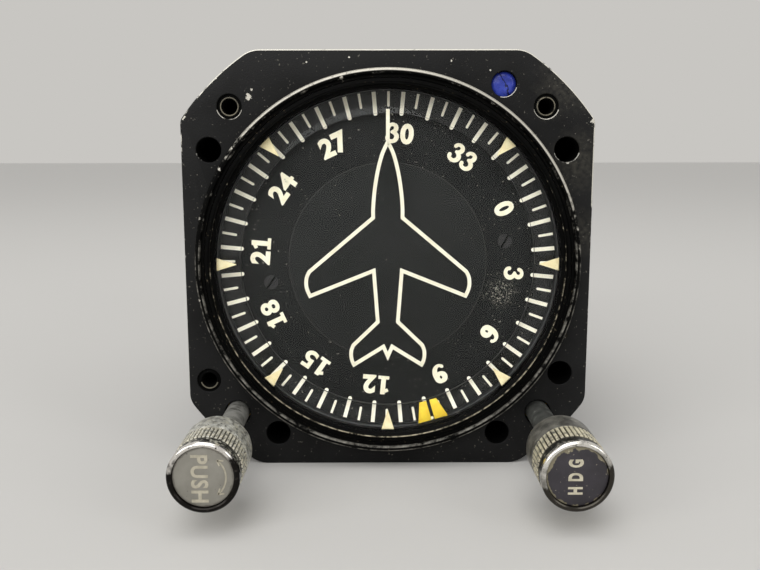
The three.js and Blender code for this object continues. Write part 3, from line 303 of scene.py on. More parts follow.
flangeChips = [((-27.4, 33.4), 0.5), ((-26.9, 34.7), 0.16), ((-40.7, 29.4), 0.5), ((36.1, 20.4), 0.2),
               ((-33.9, 36.9), 0.16), ((40.9, 28.6), 0.4), ((-7.6, 40.9), 0.12), ((12.5, 40.2), 0.12),
               ((20.2, 38.4), 0.12), ((-16.0, 40.0), 0.1)]
flangeHazes = [((35.5, 35.5), 5.0), ((38.5, 20.5), 5.0), ((38.5, 6.0), 4.0), ((31.5, 31.0), 2.0)]
bezelChips = [((-31.0, 23.3), 0.5), ((-33.1, 19.2), 0.25), ((-37.4, 9.6), 0.25), ((-37.9, -6.9), 0.2),
              ((-9.0, 36.7), 0.25)]
finish = {
    # satin black casting, mottled and dusty, with chips down to the alloy; its edges are bare in patches, partly worn
    # and partly a painted highlight
    "enamel": stovedEnamel("stovedBlackEnamel", enamelLook, flangeChips, flangeHazes),
    "flangeEdge": stovedEnamel("flangeEdgeWornAndHighlit", dict(enamelLook, bare="#d3d0c6"), wearMask=flangeEdgeWear),
    # the bezel is blacker and shows fine worn lines and a painted highlight on its shoulder; dirt has settled on the
    # ledge inside it
    "bezel": stovedEnamel("bezelEnamelWornAndHighlit", bezelLook, bezelChips, wearMask=bezelWear),
    "ledge": stovedEnamel("dirtyLedgeEnamel", dict(bezelLook, bare="#b3aa94"), wearMask=ledgeDirt),
    # nobody handles the rear, so its enamel is plain and a shade paler
    "rearEnamel": stovedEnamel("rearCaseEnamel", dict(enamelLook, mottle=14.0, base="#1a1a1a", light="#232323")),
    # painted shade: bores, slots and hole walls get a near-black paint that mirrors almost nothing; the black ring
    # behind the pointers uses it too
    "bore": markingPaint("darkBore", {
        "base": "#050505", "aged": "#0b0b0a", "soil": "#151411", "patch": 2.0, "pit": 0.4, "rough": 0.8,
        "gloss": 0.05}),
    # plain metals: steel blued dark, bright turned steel, greyer alloy, yellow brass
    "blackened": turnedMetal("blackenedSteel", dict(steelLook, base="#161616", dull="#1f1e1d", soil="#4f4939",
                                                    dirt=-0.02, rough=0.42, metal=0.3, bump=0.4)),
    "steel": turnedMetal("turnedSteel", steelLook),
    "alloy": turnedMetal("machinedAlloy", dict(steelLook, base="#a9aaaa", dull="#8a8b8c", rough=0.4, dirt=-0.05)),
    "brass": turnedMetal("machinedBrass", dict(steelLook, base="#c9a855", dull="#a98a45", soil="#5c4a22", dirt=-0.03)),
    # matt black gasket and fibrous pale filter
    "rubber": markingPaint("blackRubber", {
        "base": "#101010", "aged": "#1a1a1a", "soil": "#2c2a28", "patch": 2.0, "pit": 0.5, "rough": 0.8}),
    "felt": markingPaint("pressedFelt", {
        "base": "#cfcabb", "aged": "#b5af9d", "soil": "#8a8371", "patch": 1.0, "pit": 0.4, "rough": 0.95}),
    # marks: matt, from near white on the ticks to peach on the pointers, with small pits where dirt sits; the ticks'
    # paler paint is painted light, making up for the bezel's shadow over them
    "cream": markingPaint("creamMarkingPaint", {
        "base": "#f0ead2", "aged": "#e2dabd", "soil": "#8b8468", "patch": 1.5, "pit": 0.35, "rough": 0.6}),
    "tick": markingPaint("tickPaintWithPaintedLight", {
        "base": "#fffae8", "aged": "#f8f2dc", "soil": "#a39c80", "patch": 1.5, "pit": 0.25, "rough": 0.6}),
    "pointer": markingPaint("peachPointerPaint", {
        "base": "#e8dcb2", "aged": "#dccb98", "soil": "#b5a577", "patch": 1.2, "pit": 0.3, "rough": 0.6}),
    "white": markingPaint("whiteSymbolPaint", {
        "base": "#e6e1cc", "aged": "#d9d3bb", "soil": "#b2ad9b", "patch": 2.0, "pit": 0.3, "rough": 0.55}),
    "yellow": markingPaint("yellowBugPaint", {
        "base": "#ecce36", "aged": "#e0b92f", "soil": "#8a6512", "patch": 1.6, "pit": 0.35, "rough": 0.55}),
    # thumbed prints, greyer than the dial's
    "hdgPrint": markingPaint("creamKnobPrint", {
        "base": "#c3bca6", "aged": "#a8a18c", "soil": "#5b564b", "patch": 0.8, "pit": 0.25, "rough": 0.5}),
    "cagePrint": markingPaint("fadedKnobPrint", {
        "base": "#b4ad9a", "aged": "#9d9786", "soil": "#7b776d", "patch": 0.8, "pit": 0.25, "rough": 0.5}),
    # coated glass and clear plastic are seen by their smears and edges alone; the sawn edge looks dark
    "glass": clearSheet("coatedCoverGlass", {"tint": "#fdfefe", "rough": 0.0, "ior": 1.2, "smear": 6.0}),
    "acrylic": clearSheet("clearAcrylic", {"tint": "#fdfdfc", "rough": 0.0, "ior": 1.25, "smear": 3.0}),
    "acrylicEdge": markingPaint("sawnAcrylicEdge", {
        "base": "#40403b", "aged": "#2e2e2a", "soil": "#55544d", "patch": 3.0, "pit": 0.5, "rough": 0.4,
        "gloss": 0.2}),
    # small parts: oxide black screws, browned steel lips, knob stems dull from handling
    "screwBlack": turnedMetal("blackOxideScrew", dict(
        steelLook, base="#181817", dull="#121211", soil="#2c2b28", rough=0.5, dirt=0.0, metal=0.1)),
    "insertLip": turnedMetal("agedSteelLip", dict(
        steelLook, base="#97917f", dull="#6b675b", soil="#3a372f", rough=0.35, dirt=0.06, metal=0.7)),
    "cageStem": turnedMetal("dullAlloyStem", dict(
        steelLook, base="#8f8e88", dull="#666560", soil="#4c4b46", rough=0.42, dirt=0.04, metal=0.12), cagePlace),
    "hdgStem": turnedMetal("darkAlloyStem", dict(
        steelLook, base="#5a5b57", dull="#3d3e3b", soil="#8a8b86", rough=0.4, dirt=0.0, metal=0.3), hdgPlace),
}


# matt black dial paint with a faint bloom, a patch of pale flakes, and a pale line at an edge
def dialPaint(name, look):
    material, tree, coords = startMaterial(name)
    cloud = speckle(tree, coords, 7.0, 0.35, 0.75, 8.0)
    mote = speckle(tree, coords, 0.4, 0.745, 0.765, 1.0)
    patch = raggedSpot(tree, coords, look["flakes"], 1.7, 2.4)
    flake = speckle(tree, coords, 0.32, 0.55, 0.62, 5.0, patch)
    motes = addNode(tree, "ShaderNodeMath", {0: mote, 1: flake}, operation="MAXIMUM")
    rim = ringMask(tree, axisDistance(tree, coords), look["edge"], look["edge"] + 1, 0.05)
    color = layers(tree, look["base"], (cloud, look["bloom"]), (motes, look["mote"]), (rim, look["line"]))
    endMaterial(tree, {"Base Color": color, "Roughness": look["rough"], "Specular IOR Level": 0.15},
                speckle(tree, coords, 0.2, 0.2, 0.8, 2.0), 0.07, 0.02)
    return material


# the flakes lie below the 3; the card's edge is out of sight, so its line is put beyond it
dialLook = {"base": "#0e0f0e", "bloom": "#151615", "edge": 99.0, "line": "#3f3f3b", "mote": "#8a877c",
            "flakes": (23.5, -6.3), "rough": 0.7}
finish["dial"] = dialPaint("mattDialBlack", dialLook)
finish["dialCentre"] = dialPaint("mattDialCentre", dict(
    dialLook, base="#161716", bloom="#1e1f1e", line="#2f2f2c", edge=20.34))


# cast sealing compound: glossy, swollen, shrunk back from the hole and cracked once across
def sealingCompound(look):
    material, tree, coords = startMaterial("blueSealingCompound")
    lumps = addNode(tree, "ShaderNodeTexNoise", {
        "Vector": coords, "Scale": 1 / (1.6 * mm), "Detail": 5.0}).outputs["Fac"]
    centre = (-sealPlace[0] * mm, 0, -(dial["height"] + sealPlace[1]) * mm)
    local = addNode(tree, "ShaderNodeMapping", {"Vector": coords, "Location": centre}).outputs["Vector"]
    across = addNode(tree, "ShaderNodeVectorMath", {0: local, 1: (1, 0, look["lean"])},
                     operation="DOT_PRODUCT").outputs["Value"]
    wave = addNode(tree, "ShaderNodeMath", {0: lumps, 1: 3.0 * mm, 2: -1.5 * mm}, operation="MULTIPLY_ADD")
    line = addNode(tree, "ShaderNodeMath", {0: across, 1: wave}, operation="ADD")
    gap = addNode(tree, "ShaderNodeMath", {0: line}, operation="ABSOLUTE")
    crack = addNode(tree, "ShaderNodeMapRange", {
        "Value": gap, "From Min": 0.03 * mm, "From Max": 0.22 * mm, "To Min": 1.0, "To Max": 0.0})
    # painted light: the compound is coloured paler towards the bottom
    height = addNode(tree, "ShaderNodeSeparateXYZ", {"Vector": local}).outputs["Z"]
    pale = addNode(tree, "ShaderNodeMapRange", {"Value": height, "From Min": 1.6 * mm, "From Max": -2.2 * mm})
    color = layers(tree, look["deep"], (pale, look["pale"]), (speckle(tree, coords, 1.1, 0.42, 0.7), look["mid"]),
                   (crack, look["crack"]))
    relief = addNode(tree, "ShaderNodeMath", {0: lumps, 1: crack}, operation="SUBTRACT")
    endMaterial(tree, {"Base Color": color, "Roughness": 0.3, "Specular IOR Level": 0.35}, relief, 0.8, 0.12)
    return material


finish["seal"] = sealingCompound({
    "deep": "#1c2670", "pale": "#4355c2", "mid": "#2c3a9c", "crack": "#0d1033", "lean": 0.35})


# knob metal: the knurl's crests paler, partly plating worn off them and partly a painted highlight, and darker between
# them; the collar ahead of the knurl is painted shade
def knobMetal(name, look, place):
    material, tree, coords = startMaterial(name)
    ahead = aheadOf(tree, coords, -look["knurlBack"])
    rise = {"Value": axisDistance(tree, coords, place), "From Min": look["grooveRadius"] * mm,
            "From Max": look["crestRadius"] * mm}
    crest = addNode(tree, "ShaderNodeMapRange", {**rise, "To Max": ahead}).outputs["Result"]
    groove = addNode(tree, "ShaderNodeMapRange", {**rise, "To Min": ahead, "To Max": 0.0})
    patch = speckle(tree, coords, look["patch"], 0.36, 0.64, 8.0)
    rub = speckle(tree, coords, look["rub"], look["rubbed"], look["rubbed"] + 0.2, 6.0, crest)
    scuff = speckle(tree, coords, 0.8, look["scuffed"], look["scuffed"] + 0.08, 8.0)
    pit = speckle(tree, coords, 0.6, 0.60, 0.66, 6.0, look["pitted"])
    # painted highlight on the crests, painted shade on the collar between the knurl and the rim
    color = layers(tree, look["base"], (patch, look["dull"]), (rub, look["crest"]), (groove, look["groove"]),
                   (aheadOf(tree, coords, -look["knurlFront"]), look["collarShade"]), (scuff, look["scuff"]),
                   (pit, look["groove"]))
    height = addNode(tree, "ShaderNodeMath", {0: patch, 1: pit}, operation="SUBTRACT")
    endMaterial(tree, {"Base Color": color, "Roughness": look["rough"], "Metallic": look["metal"]},
                height, 0.45, 0.08)
    return material


knobLook = {"grooveRadius": 5.85, "crestRadius": 6.15, "knurlBack": 27.3, "knurlFront": 32.62, "collarShade": "#121110",
            "scuffed": 0.6, "pitted": 0.25, "patch": 2.6, "rub": 1.2, "rubbed": 0.32, "rough": 0.42, "metal": 0.3}
finish["cageKnob"] = knobMetal("nickelKnobWithPaintedLight", dict(
    knobLook, base="#d6d5cc", dull="#6b6a63", crest="#f0e9d2", groove="#45423a", scuff="#b8b5a7",
    patch=1.0, rub=0.7, rubbed=0.38, scuffed=0.52, pitted=1.0), cagePlace)
finish["hdgKnob"] = knobMetal("blackenedKnobWithPaintedLight", dict(
    knobLook, base="#77756d", dull="#403f3b", crest="#dcd4b8", groove="#2d2a22", scuff="#8d897e", patch=1.8), hdgPlace)


# chrome rim with a painted reflection, bright above and dark below, and small pits
def chromeRim(name, look, place):
    material, tree, coords = startMaterial(name)
    middle = dial["height"] + place[1] + look["lean"] * place[0]
    up = heightShare(tree, coords, middle - 5.5, middle + 6.0, -0.25, 0.75, look["lean"])
    cloud = speckle(tree, coords, 1.8, 0.3, 0.7, 8.0, 0.5)
    share = addNode(tree, "ShaderNodeMath", {0: up, 1: cloud}, operation="ADD")
    bright = addNode(tree, "ShaderNodeMapRange", {"Value": share, "From Min": look["rubbed"], "From Max": 0.85})
    pit = speckle(tree, coords, 0.7, 0.62, 0.68, 5.0)
    color = layers(tree, look["paintedReflectionDark"], (bright, look["chrome"]), (pit, look["pit"]))
    endMaterial(tree, {"Base Color": color, "Roughness": look["rough"], "Metallic": 0.9}, pit, 0.2, 0.03, sunk=True)
    return material


finish["cageRim"] = chromeRim("chromeRimDarkPaintedReflection", {
    "paintedReflectionDark": "#1b1917", "chrome": "#e0dcd6", "pit": "#3a3633", "rough": 0.16, "lean": -0.12,
    "rubbed": 0.6}, cagePlace)
finish["hdgRim"] = chromeRim("chromeRimBrightPaintedReflection", {
    "paintedReflectionDark": "#3a3732", "chrome": "#e2dfd8", "pit": "#4a463f", "rough": 0.2, "lean": -0.3,
    "rubbed": 0.4}, hdgPlace)


# painted label on a disc, worn at its rim to the pale metal under it
def labelPaint(name, look, place):
    material, tree, coords = startMaterial(name)
    cloud = addNode(tree, "ShaderNodeTexNoise", {"Vector": coords, "Scale": 1 / (1.2 * mm), "Detail": 8.0})
    ragged = addNode(tree, "ShaderNodeMapRange", {
        "Value": cloud.outputs["Fac"], "From Min": 0.3, "From Max": 0.7,
        "To Min": -look["ragged"] * mm, "To Max": look["ragged"] * mm})
    middle = dial["height"] + place[1] + look["lean"] * place[0]
    slope = heightShare(tree, coords, middle - 5, middle + 5, -look["upper"] * mm, look["upper"] * mm, look["lean"])
    edge = addNode(tree, "ShaderNodeMath", {0: axisDistance(tree, coords, place), 1: ragged}, operation="ADD")
    edge = addNode(tree, "ShaderNodeMath", {0: edge, 1: slope}, operation="ADD")
    rim = addNode(tree, "ShaderNodeMapRange", {
        "Value": edge, "From Min": look["rim"] * mm, "From Max": (look["rim"] + 0.15) * mm})
    color = layers(tree, look["base"], (speckle(tree, coords, 2.5, 0.35, 0.7, 5.0), look["light"]),
                   (rim, look["worn"]), (speckle(tree, coords, 0.5, 0.70, 0.74, 3.0), look["pit"]))
    endMaterial(tree, {"Base Color": color, "Roughness": look["rough"], "Metallic": look["metal"]}, rim, 0.3, 0.05,
                sunk=True)
    return material


finish["cageLabel"] = labelPaint("silverLabel", {
    "base": "#827f76", "light": "#8f8c83", "worn": "#736f67", "pit": "#4e4b44", "ragged": 0.2, "rim": 4.95,
    "upper": 0.0, "lean": 0.0, "rough": 0.38, "metal": 0.3}, cagePlace)
finish["hdgLabel"] = labelPaint("darkLabel", {
    "base": "#2b282c", "light": "#353137", "worn": "#7d7661", "pit": "#b8b19a", "ragged": 0.45, "rim": 4.82,
    "upper": 0.3, "lean": -0.5, "rough": 0.4, "metal": 0.1}, hdgPlace)

print("materials made")


def mend(bm):
    bmesh.ops.remove_doubles(bm, verts=bm.verts, dist=0.0005)
    bmesh.ops.recalc_face_normals(bm, faces=bm.faces)
    return bm


# turns points about the axis, clockwise as the viewer sees it
def turn(bm, verts, angle):
    bmesh.ops.rotate(bm, verts=verts, cent=(0, 0, 0), matrix=Matrix.Rotation(angle, 3, "Y"))


def joinInto(bm, other):
    mesh = bpy.data.meshes.new("joined")
    other.to_mesh(mesh)
    other.free()
    bm.from_mesh(mesh)
    bpy.data.meshes.remove(mesh)


# writes a bmesh drawn in millimetres about the dial axis (or about a place beside it) as a finished piece
def placePiece(bm, name, body, materials, place=(0, 0), replaces=(), bevel=0.0, segments=2):
    mend(bm)
    if bevel:
        roundEdges(bm, bevel, segments)
    bmesh.ops.scale(bm, vec=(mm, mm, mm), verts=bm.verts)
    shift = Vector((place[0] * mm, dial["front"] * mm, (dial["height"] + place[1]) * mm))
    bmesh.ops.translate(bm, vec=shift, verts=bm.verts)
    mesh = bpy.data.meshes.new(name)
    bm.to_mesh(mesh)
    bm.free()
    mesh.shade_smooth()
    mesh.set_sharp_from_angle(angle=sharpAngle)
    for material in materials:
        mesh.materials.append(material)
    piece = bpy.data.objects.new(name, mesh)
    bpy.context.scene.collection.objects.link(piece)
    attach(piece, body)
    if replaces:
        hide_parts(*replaces)
    return piece


def roundEdges(bm, offset, segments=2):
    sharp = [e for e in bm.edges if len(e.link_faces) == 2 and e.calc_face_angle(0) > math.radians(35)]
    bmesh.ops.bevel(bm, geom=sharp, offset=offset, offset_type="OFFSET", segments=segments, profile=0.5,
                    affect="EDGES", clamp_overlap=True, material=-1)


# a closed outline of (radius, y) turned about the axis
def spun(bm, outline, steps=smooth, slot=0):
    verts = [bm.verts.new((r, y, 0)) for r, y in outline]
    edges = [bm.edges.new((verts[i], verts[(i + 1) % len(verts)])) for i in range(len(verts))]
    before = set(bm.faces)
    bmesh.ops.spin(bm, geom=verts + edges, cent=(0, 0, 0), axis=(0, 1, 0), angle=2 * math.pi,
                   steps=steps, use_merge=True, use_duplicate=False)
    made = [f for f in bm.faces if f not in before]
    for face in made:
        face.material_index = slot
    return made


def disc(bm, radius, front, back, place=(0, 0), steps=smooth, slot=0):
    upright = Matrix.Translation((place[0], (front + back) / 2, place[1])) @ Matrix.Rotation(math.pi / 2, 4, "X")
    made = bmesh.ops.create_cone(bm, cap_ends=True, segments=steps, radius1=radius, radius2=radius,
                                 depth=back - front, matrix=upright)
    for face in {f for v in made["verts"] for f in v.link_faces}:
        face.material_index = slot
    return made["verts"]


def block(bm, low, high, slot=0):
    middle = [(a + b) / 2 for a, b in zip(low, high)]
    size = [b - a for a, b in zip(low, high)]
    made = bmesh.ops.create_cube(bm, size=1, matrix=Matrix.Translation(middle) @ Matrix.Diagonal((*size, 1)))
    for face in {f for v in made["verts"] for f in v.link_faces}:
        face.material_index = slot
    return made["verts"]


# joins or cuts one bmesh by another with the exact Boolean modifier, and gives the result back as a bmesh
def carve(bm, cutter, operation):
    objects = []
    for part in (bm, cutter):
        mesh = bpy.data.meshes.new("carve")
        part.to_mesh(mesh)
        part.free()
        objects.append(bpy.data.objects.new("carve", mesh))
        bpy.context.scene.collection.objects.link(objects[-1])
    modifier = objects[0].modifiers.new("carve", "BOOLEAN")
    modifier.operation, modifier.solver, modifier.object = operation, "EXACT", objects[1]
    modifier.use_self = False
    cutMesh = bpy.data.meshes.new_from_object(objects[0].evaluated_get(bpy.context.evaluated_depsgraph_get()))
    result = bmesh.new()
    result.from_mesh(cutMesh)
    bpy.data.meshes.remove(cutMesh)
    for item in objects:
        mesh = item.data
        bpy.data.objects.remove(item)
        bpy.data.meshes.remove(mesh)
    return result


# a quarter of the flange's outline: a rectangle whose corner one circle cuts off, rounded where the two meet
def outlineQuarter(half, tall, reach, sideTurn, endTurn):
    side = (half - sideTurn, math.sqrt((reach - sideTurn) ** 2 - (half - sideTurn) ** 2))
    end = (math.sqrt((reach - endTurn) ** 2 - (tall - endTurn) ** 2), tall - endTurn)
    first, last = math.atan2(side[1], side[0]), math.atan2(end[1], end[0])
    quarter = []
    for middle, radius, start, stop, parts in ((side, sideTurn, 0, first, 8), ((0, 0), reach, first, last, 14),
                                               (end, endTurn, last, math.pi / 2, 8)):
        for i in range(parts + 1):
            x, z = polar(radius, start + (stop - start) * i / parts)
            quarter.append((middle[0] + x, middle[1] + z))
    return quarter


def outlineBlock(front, back, inset=0.0):
    soften = housing["soften"]
    size = (housing["width"] / 2 - inset, housing["height"] / 2 - inset, housing["corner"] - inset)
    upper = outlineQuarter(*size, soften["upperSide"], soften["top"])
    lower = outlineQuarter(*size, soften["lowerSide"], soften["bottom"])
    points = upper + [(-x, z) for x, z in reversed(upper)]
    points += [(-x, -z) for x, z in lower] + [(x, -z) for x, z in reversed(lower)]
    bm = bmesh.new()
    bm.faces.new([bm.verts.new((x, front, z)) for x, z in points])
    deep = bmesh.ops.extrude_face_region(bm, geom=list(bm.faces))["geom"]
    bmesh.ops.translate(bm, verts=[v for v in deep if isinstance(v, bmesh.types.BMVert)], vec=(0, back - front, 0))
    return mend(bm)


# a blind hole from the flange's face with a small chamfer at its mouth
def bore(bm, radius, depth, place, chamfer):
    made = spun(bm, [(0, -1), (radius + chamfer, -1), (radius + chamfer, 0), (radius, chamfer), (radius, depth),
                     (0, depth)], 48)
    bmesh.ops.translate(bm, verts=list({v for f in made for v in f.verts}), vec=(place[0], 0, place[1]))


def makeHousing():
    front = outlineBlock(0, housing["flange"])
    rim = [e for e in front.edges if len(e.link_faces) == 2 and e.calc_face_angle(0) > math.radians(60)]
    bmesh.ops.bevel(front, geom=rim, offset=housing["wear"], offset_type="OFFSET", segments=2, profile=0.5,
                    affect="EDGES", clamp_overlap=True, material=-1)
    rear = outlineBlock(housing["flange"] - 0.5, housing["back"], housing["inset"])
    body = carve(front, rear, "UNION")
    tools = bmesh.new()
    spun(tools, [(0, -1), (housing["lip"], -1), (housing["lip"], housing["lipBack"]),
                 (housing["seat"], housing["lipBack"]), (housing["seat"], housing["cavityFront"]),
                 (housing["cavity"], housing["cavityFront"]), (housing["cavity"], housing["back"] + 1),
                 (0, housing["back"] + 1)], fineRound)
    for place in bigHoles + [sealPlace]:
        bore(tools, housing["hole"], housing["holeDepth"], place, housing["chamfer"])
    for place in insertPlaces.values():
        bore(tools, housing["insertHole"], housing["insertDepth"], place, housing["chamfer"])
    for place in (cagePlace, hdgPlace):
        bore(tools, housing["stemHole"], housing["flange"] + 1, place, housing["chamfer"])
    body = carve(body, mend(tools), "DIFFERENCE")
    for radius, share in ((housing["gearHole"], 1), (housing["idlerHole"], housing["idlerReach"] / knobReach)):
        pockets = bmesh.new()
        for x, z in (cagePlace, hdgPlace):
            disc(pockets, radius, housing["flange"], housing["back"] + 1, (x * share, z * share), 48)
        body = carve(body, pockets, "DIFFERENCE")
    # the holes' walls get the near-black paint, a painted shade, and the lower part of each mouth gets the flange
    # edge's finish, bare in patches, as a painted highlight
    holes = bigHoles + [sealPlace, cagePlace, hdgPlace] + list(insertPlaces.values())
    for face in body.faces:
        middle = face.calc_center_median()
        lean = abs(face.normal.y)
        around = [(x, z) for x, z in holes
                  if math.hypot(middle.x - x, middle.z - z) < housing["hole"] + housing["mouth"]]
        lit = any(middle.z < z - housing["litBelow"]
                  and ((x, z) != sealPlace or middle.x > x - housing["litRight"]) for x, z in around)
        if around and middle.y > housing["mouthDepth"]:
            face.material_index = 2
        elif 0.05 < lean < 0.95 and (lit or middle.y < housing["rimDepth"] and not around):
            face.material_index = 1
    placePiece(body, "frontHousing", "case", [finish["enamel"], finish["flangeEdge"], finish["bore"]],
               replaces=("front_housing",))


makeHousing()
print("housing made")


# outlines of (radius, y): the bezel has a rounded shoulder and a worn crest, the retaining ring a ledge inside it and
# a slope down to the glass
bezel = {
    "ring": [(36.9, 0), (38.7, 0), (38.7, -3.1), (38.64, -3.4), (38.5, -3.62), (38.3, -3.76), (38.1, -3.8),
             (37.85, -3.8), (37.68, -3.74), (37.58, -3.6), (37.52, -3.3), (37.45, -2.95), (36.9, -2.95)],
    "retainer": [(34.9, -2.4), (36.75, -2.4), (36.75, -2.95), (36.1, -3.05), (35.85, -3.28), (35.7, -3.3),
                 (35.58, -3.26), (35.5, -3.12), (35.42, -2.8), (34.9, -2.5)],
    "gasket": [(35.1, -0.3), (36.75, -0.3), (36.75, 0), (35.1, 0)],
    "seat": 36.75, "glassFront": -2.4, "glassBack": -0.6}


def makeBezel():
    bm = bmesh.new()
    spun(bm, bezel["ring"], fineRound)
    placePiece(bm, "bezelRing", "case", [finish["bezel"]], replaces=("bezel_ring",))
    bm = bmesh.new()
    spun(bm, bezel["retainer"], fineRound)
    placePiece(bm, "retainingRing", "case", [finish["ledge"]], replaces=("retaining_ring",))
    bm = bmesh.new()
    disc(bm, bezel["seat"], bezel["glassFront"], bezel["glassBack"], steps=fineRound)
    placePiece(bm, "coverGlass", "case", [finish["glass"]], replaces=("cover_glass",))
    bm = bmesh.new()
    spun(bm, bezel["gasket"], fineRound)
    placePiece(bm, "glassGasket", "case", [finish["rubber"]], replaces=("glass_gasket",))


makeBezel()

pointer = {"outer": 34.85, "length": 4.1, "base": 2.7, "tip": 0.12, "back": -0.3, "front": -0.55, "ringInner": 34.7}


# black ring with seven fixed triangles, none at the top
def makePointers():
    bm = bmesh.new()
    front, back = pointer["front"], pointer["back"]
    spun(bm, [(pointer["ringInner"], front), (bezel["seat"], front), (bezel["seat"], back),
              (pointer["ringInner"], back)], fineRound, 1)
    for i in range(1, 8):
        verts = block(bm, (-pointer["base"] / 2, front, pointer["outer"] - pointer["length"]),
                      (pointer["base"] / 2, back, pointer["outer"]))
        for v in verts:
            if v.co.z < pointer["outer"] - 1:
                v.co.x *= pointer["tip"] / pointer["base"]
        turn(bm, verts, i * math.pi / 4)
    placePiece(bm, "fixedPointers", "case", [finish["pointer"], finish["bore"]],
               replaces=("lubber_ring",))


makePointers()

# the aircraft outline from the nose round the right side to the tail's notch, in runs; a run of more than two
# points is a smooth curve
symbol = {"line": 0.74, "front": -0.55, "back": -0.32, "noseTop": 30.9, "noseFoot": 24.7, "runs": [
    [(0, 24.5), (1.05, 22.3), (1.8, 19.7), (2.35, 17.0), (2.75, 14.0), (2.95, 11.3), (2.95, 9.45)],
    [(15.95, -1.5), (16.5, -2.7), (16.62, -4.2), (16.35, -5.4), (15.85, -6.5)],
    [(2.85, -1.3)], [(2.05, -11.9)],
    [(7.1, -16.8), (7.5, -17.9), (7.55, -19.1), (7.35, -20.1), (6.98, -20.9)],
    [(0.9, -17.1)], [(0, -19.15)]]}


def smoothRun(points, parts=4):
    if len(points) < 3:
        return points
    ends = [points[0]] + points + [points[-1]]
    made = []
    for a, b, c, d in zip(ends, ends[1:], ends[2:], ends[3:]):
        for i in range(parts):
            t = i / parts
            made.append(tuple(0.5 * (2 * q + (r - p) * t + (2 * p - 5 * q + 4 * r - s) * t ** 2
                                     + (3 * q - p - 3 * r + s) * t ** 3) for p, q, r, s in zip(a, b, c, d)))
    return made + [points[-1]]


# a flat band along a path of (x, z, half its width), its corners mitred
def band(bm, path, front, back, closed=False):
    points = [Vector(point[:2]) for point in path]
    last = len(points) - 1
    rings = []
    for i, here in enumerate(points):
        after = points[0 if i == last else i + 1] if closed or i < last else 2 * here - points[i - 1]
        before = points[i - 1] if closed or i else 2 * here - after
        ahead, behind = (after - here).normalized(), (here - before).normalized()
        sideways = Vector((-ahead.y - behind.y, ahead.x + behind.x)).normalized()
        reach = path[i][2] / max(0.3, sideways.dot(Vector((-ahead.y, ahead.x))))
        rings.append([bm.verts.new((here.x + sign * reach * sideways.x, y, here.y + sign * reach * sideways.y))
                      for sign, y in ((1, front), (-1, front), (-1, back), (1, back))])
    for ring, following in zip(rings, rings[1:] + rings[:1] if closed else rings[1:]):
        for i in range(4):
            bm.faces.new((ring[i], ring[(i + 1) % 4], following[(i + 1) % 4], following[i]))
    if not closed:
        bm.faces.new(rings[0])
        bm.faces.new(rings[-1])
    return [v for ring in rings for v in ring]


def makeSymbol():
    right = [point for run in symbol["runs"] for point in smoothRun(run)]
    bm = bmesh.new()
    band(bm, [(x, z, symbol["line"] / 2) for x, z in right + [(-x, z) for x, z in reversed(right[1:-1])]],
         symbol["front"], symbol["back"], closed=True)
    block(bm, (-symbol["line"] / 2, symbol["front"] + hair, symbol["noseFoot"]),
          (symbol["line"] / 2, symbol["back"], symbol["noseTop"]))
    placePiece(bm, "aircraftOutline", "case", [finish["white"]], replaces=("aircraft_symbol",))


makeSymbol()

print("front ring and symbol made")


insert = {"outer": 2.4, "bore": 1.5, "thread": 1.66, "back": 7, "turns": 14, "threaded": 6.2,
          "mouth": [(1.5, 0.7), (1.6, 0.42), (1.68, 0.3), (1.78, 0.3), (1.88, 0.42), (2.1, 0.5)]}


# threaded insert: a thin bright lip; the thread down its bore and the shoulder outside get the near-black paint as
# painted shade, and on the lower insert only the lip's lower part is bright, its upper part painted shade
def makeInsert(node, place):
    bm = bmesh.new()
    outline = [(insert["outer"], 0.5), (insert["outer"], insert["back"]), (insert["bore"], insert["back"])]
    for i in range(insert["turns"]):
        y = insert["back"] - i * insert["threaded"] / insert["turns"]
        outline += [(insert["bore"], y - 0.05), (insert["thread"], y - 0.2), (insert["thread"], y - 0.25),
                    (insert["bore"], y - 0.4)]
    spun(bm, outline + insert["mouth"], 48)
    for face in bm.faces:
        middle = face.calc_center_median()
        reach = math.hypot(middle.x, middle.z)
        lip = 1.6 < reach < 1.9 and middle.y < 0.45 and (place[1] > 0 or middle.z < -0.4)
        face.material_index = 0 if lip else 1
    placePiece(bm, "".join(w.capitalize() for w in node.split("_")), "case",
               [finish["insertLip"], finish["bore"]], place, (node,))


for node, place in insertPlaces.items():
    makeInsert(node, place)

seal = {"radius": 2.45, "front": 0.35, "back": 2.0, "lump": 0.16, "lumpShare": 0.9, "noiseRow": 3.1, "sunk": 0.55,
        "cells": 28}


# a round grid whose middle swells in soft lumps, drawn back into the hole
def makeSeal():
    bm = bmesh.new()
    top = bmesh.ops.create_grid(bm, x_segments=seal["cells"], y_segments=seal["cells"], size=seal["radius"])["verts"]
    bmesh.ops.rotate(bm, verts=top, cent=(0, 0, 0), matrix=Matrix.Rotation(math.pi / 2, 3, "X"))
    for v in top:
        far = max(abs(v.co.x), abs(v.co.z))
        length = math.hypot(v.co.x, v.co.z)
        if length:
            v.co *= far / length
        edge = (math.hypot(v.co.x, v.co.z) / seal["radius"]) ** 4
        cloud = noise.noise(Vector((v.co.x, seal["noiseRow"], v.co.z)) * seal["lumpShare"])
        lump = seal["lump"] * cloud * (1 - edge)
        v.co.y = seal["front"] + seal["sunk"] * edge + lump
    wall = bmesh.ops.extrude_edge_only(bm, edges=[e for e in bm.edges if e.is_boundary])["geom"]
    low = [v for v in wall if isinstance(v, bmesh.types.BMVert)]
    for v in low:
        v.co.y = seal["back"]
    bmesh.ops.contextual_create(bm, geom=[e for e in bm.edges if e.is_boundary])
    placePiece(bm, "sealPlug", "case", [finish["seal"]], sealPlace, ("seal_plug",))


makeSeal()

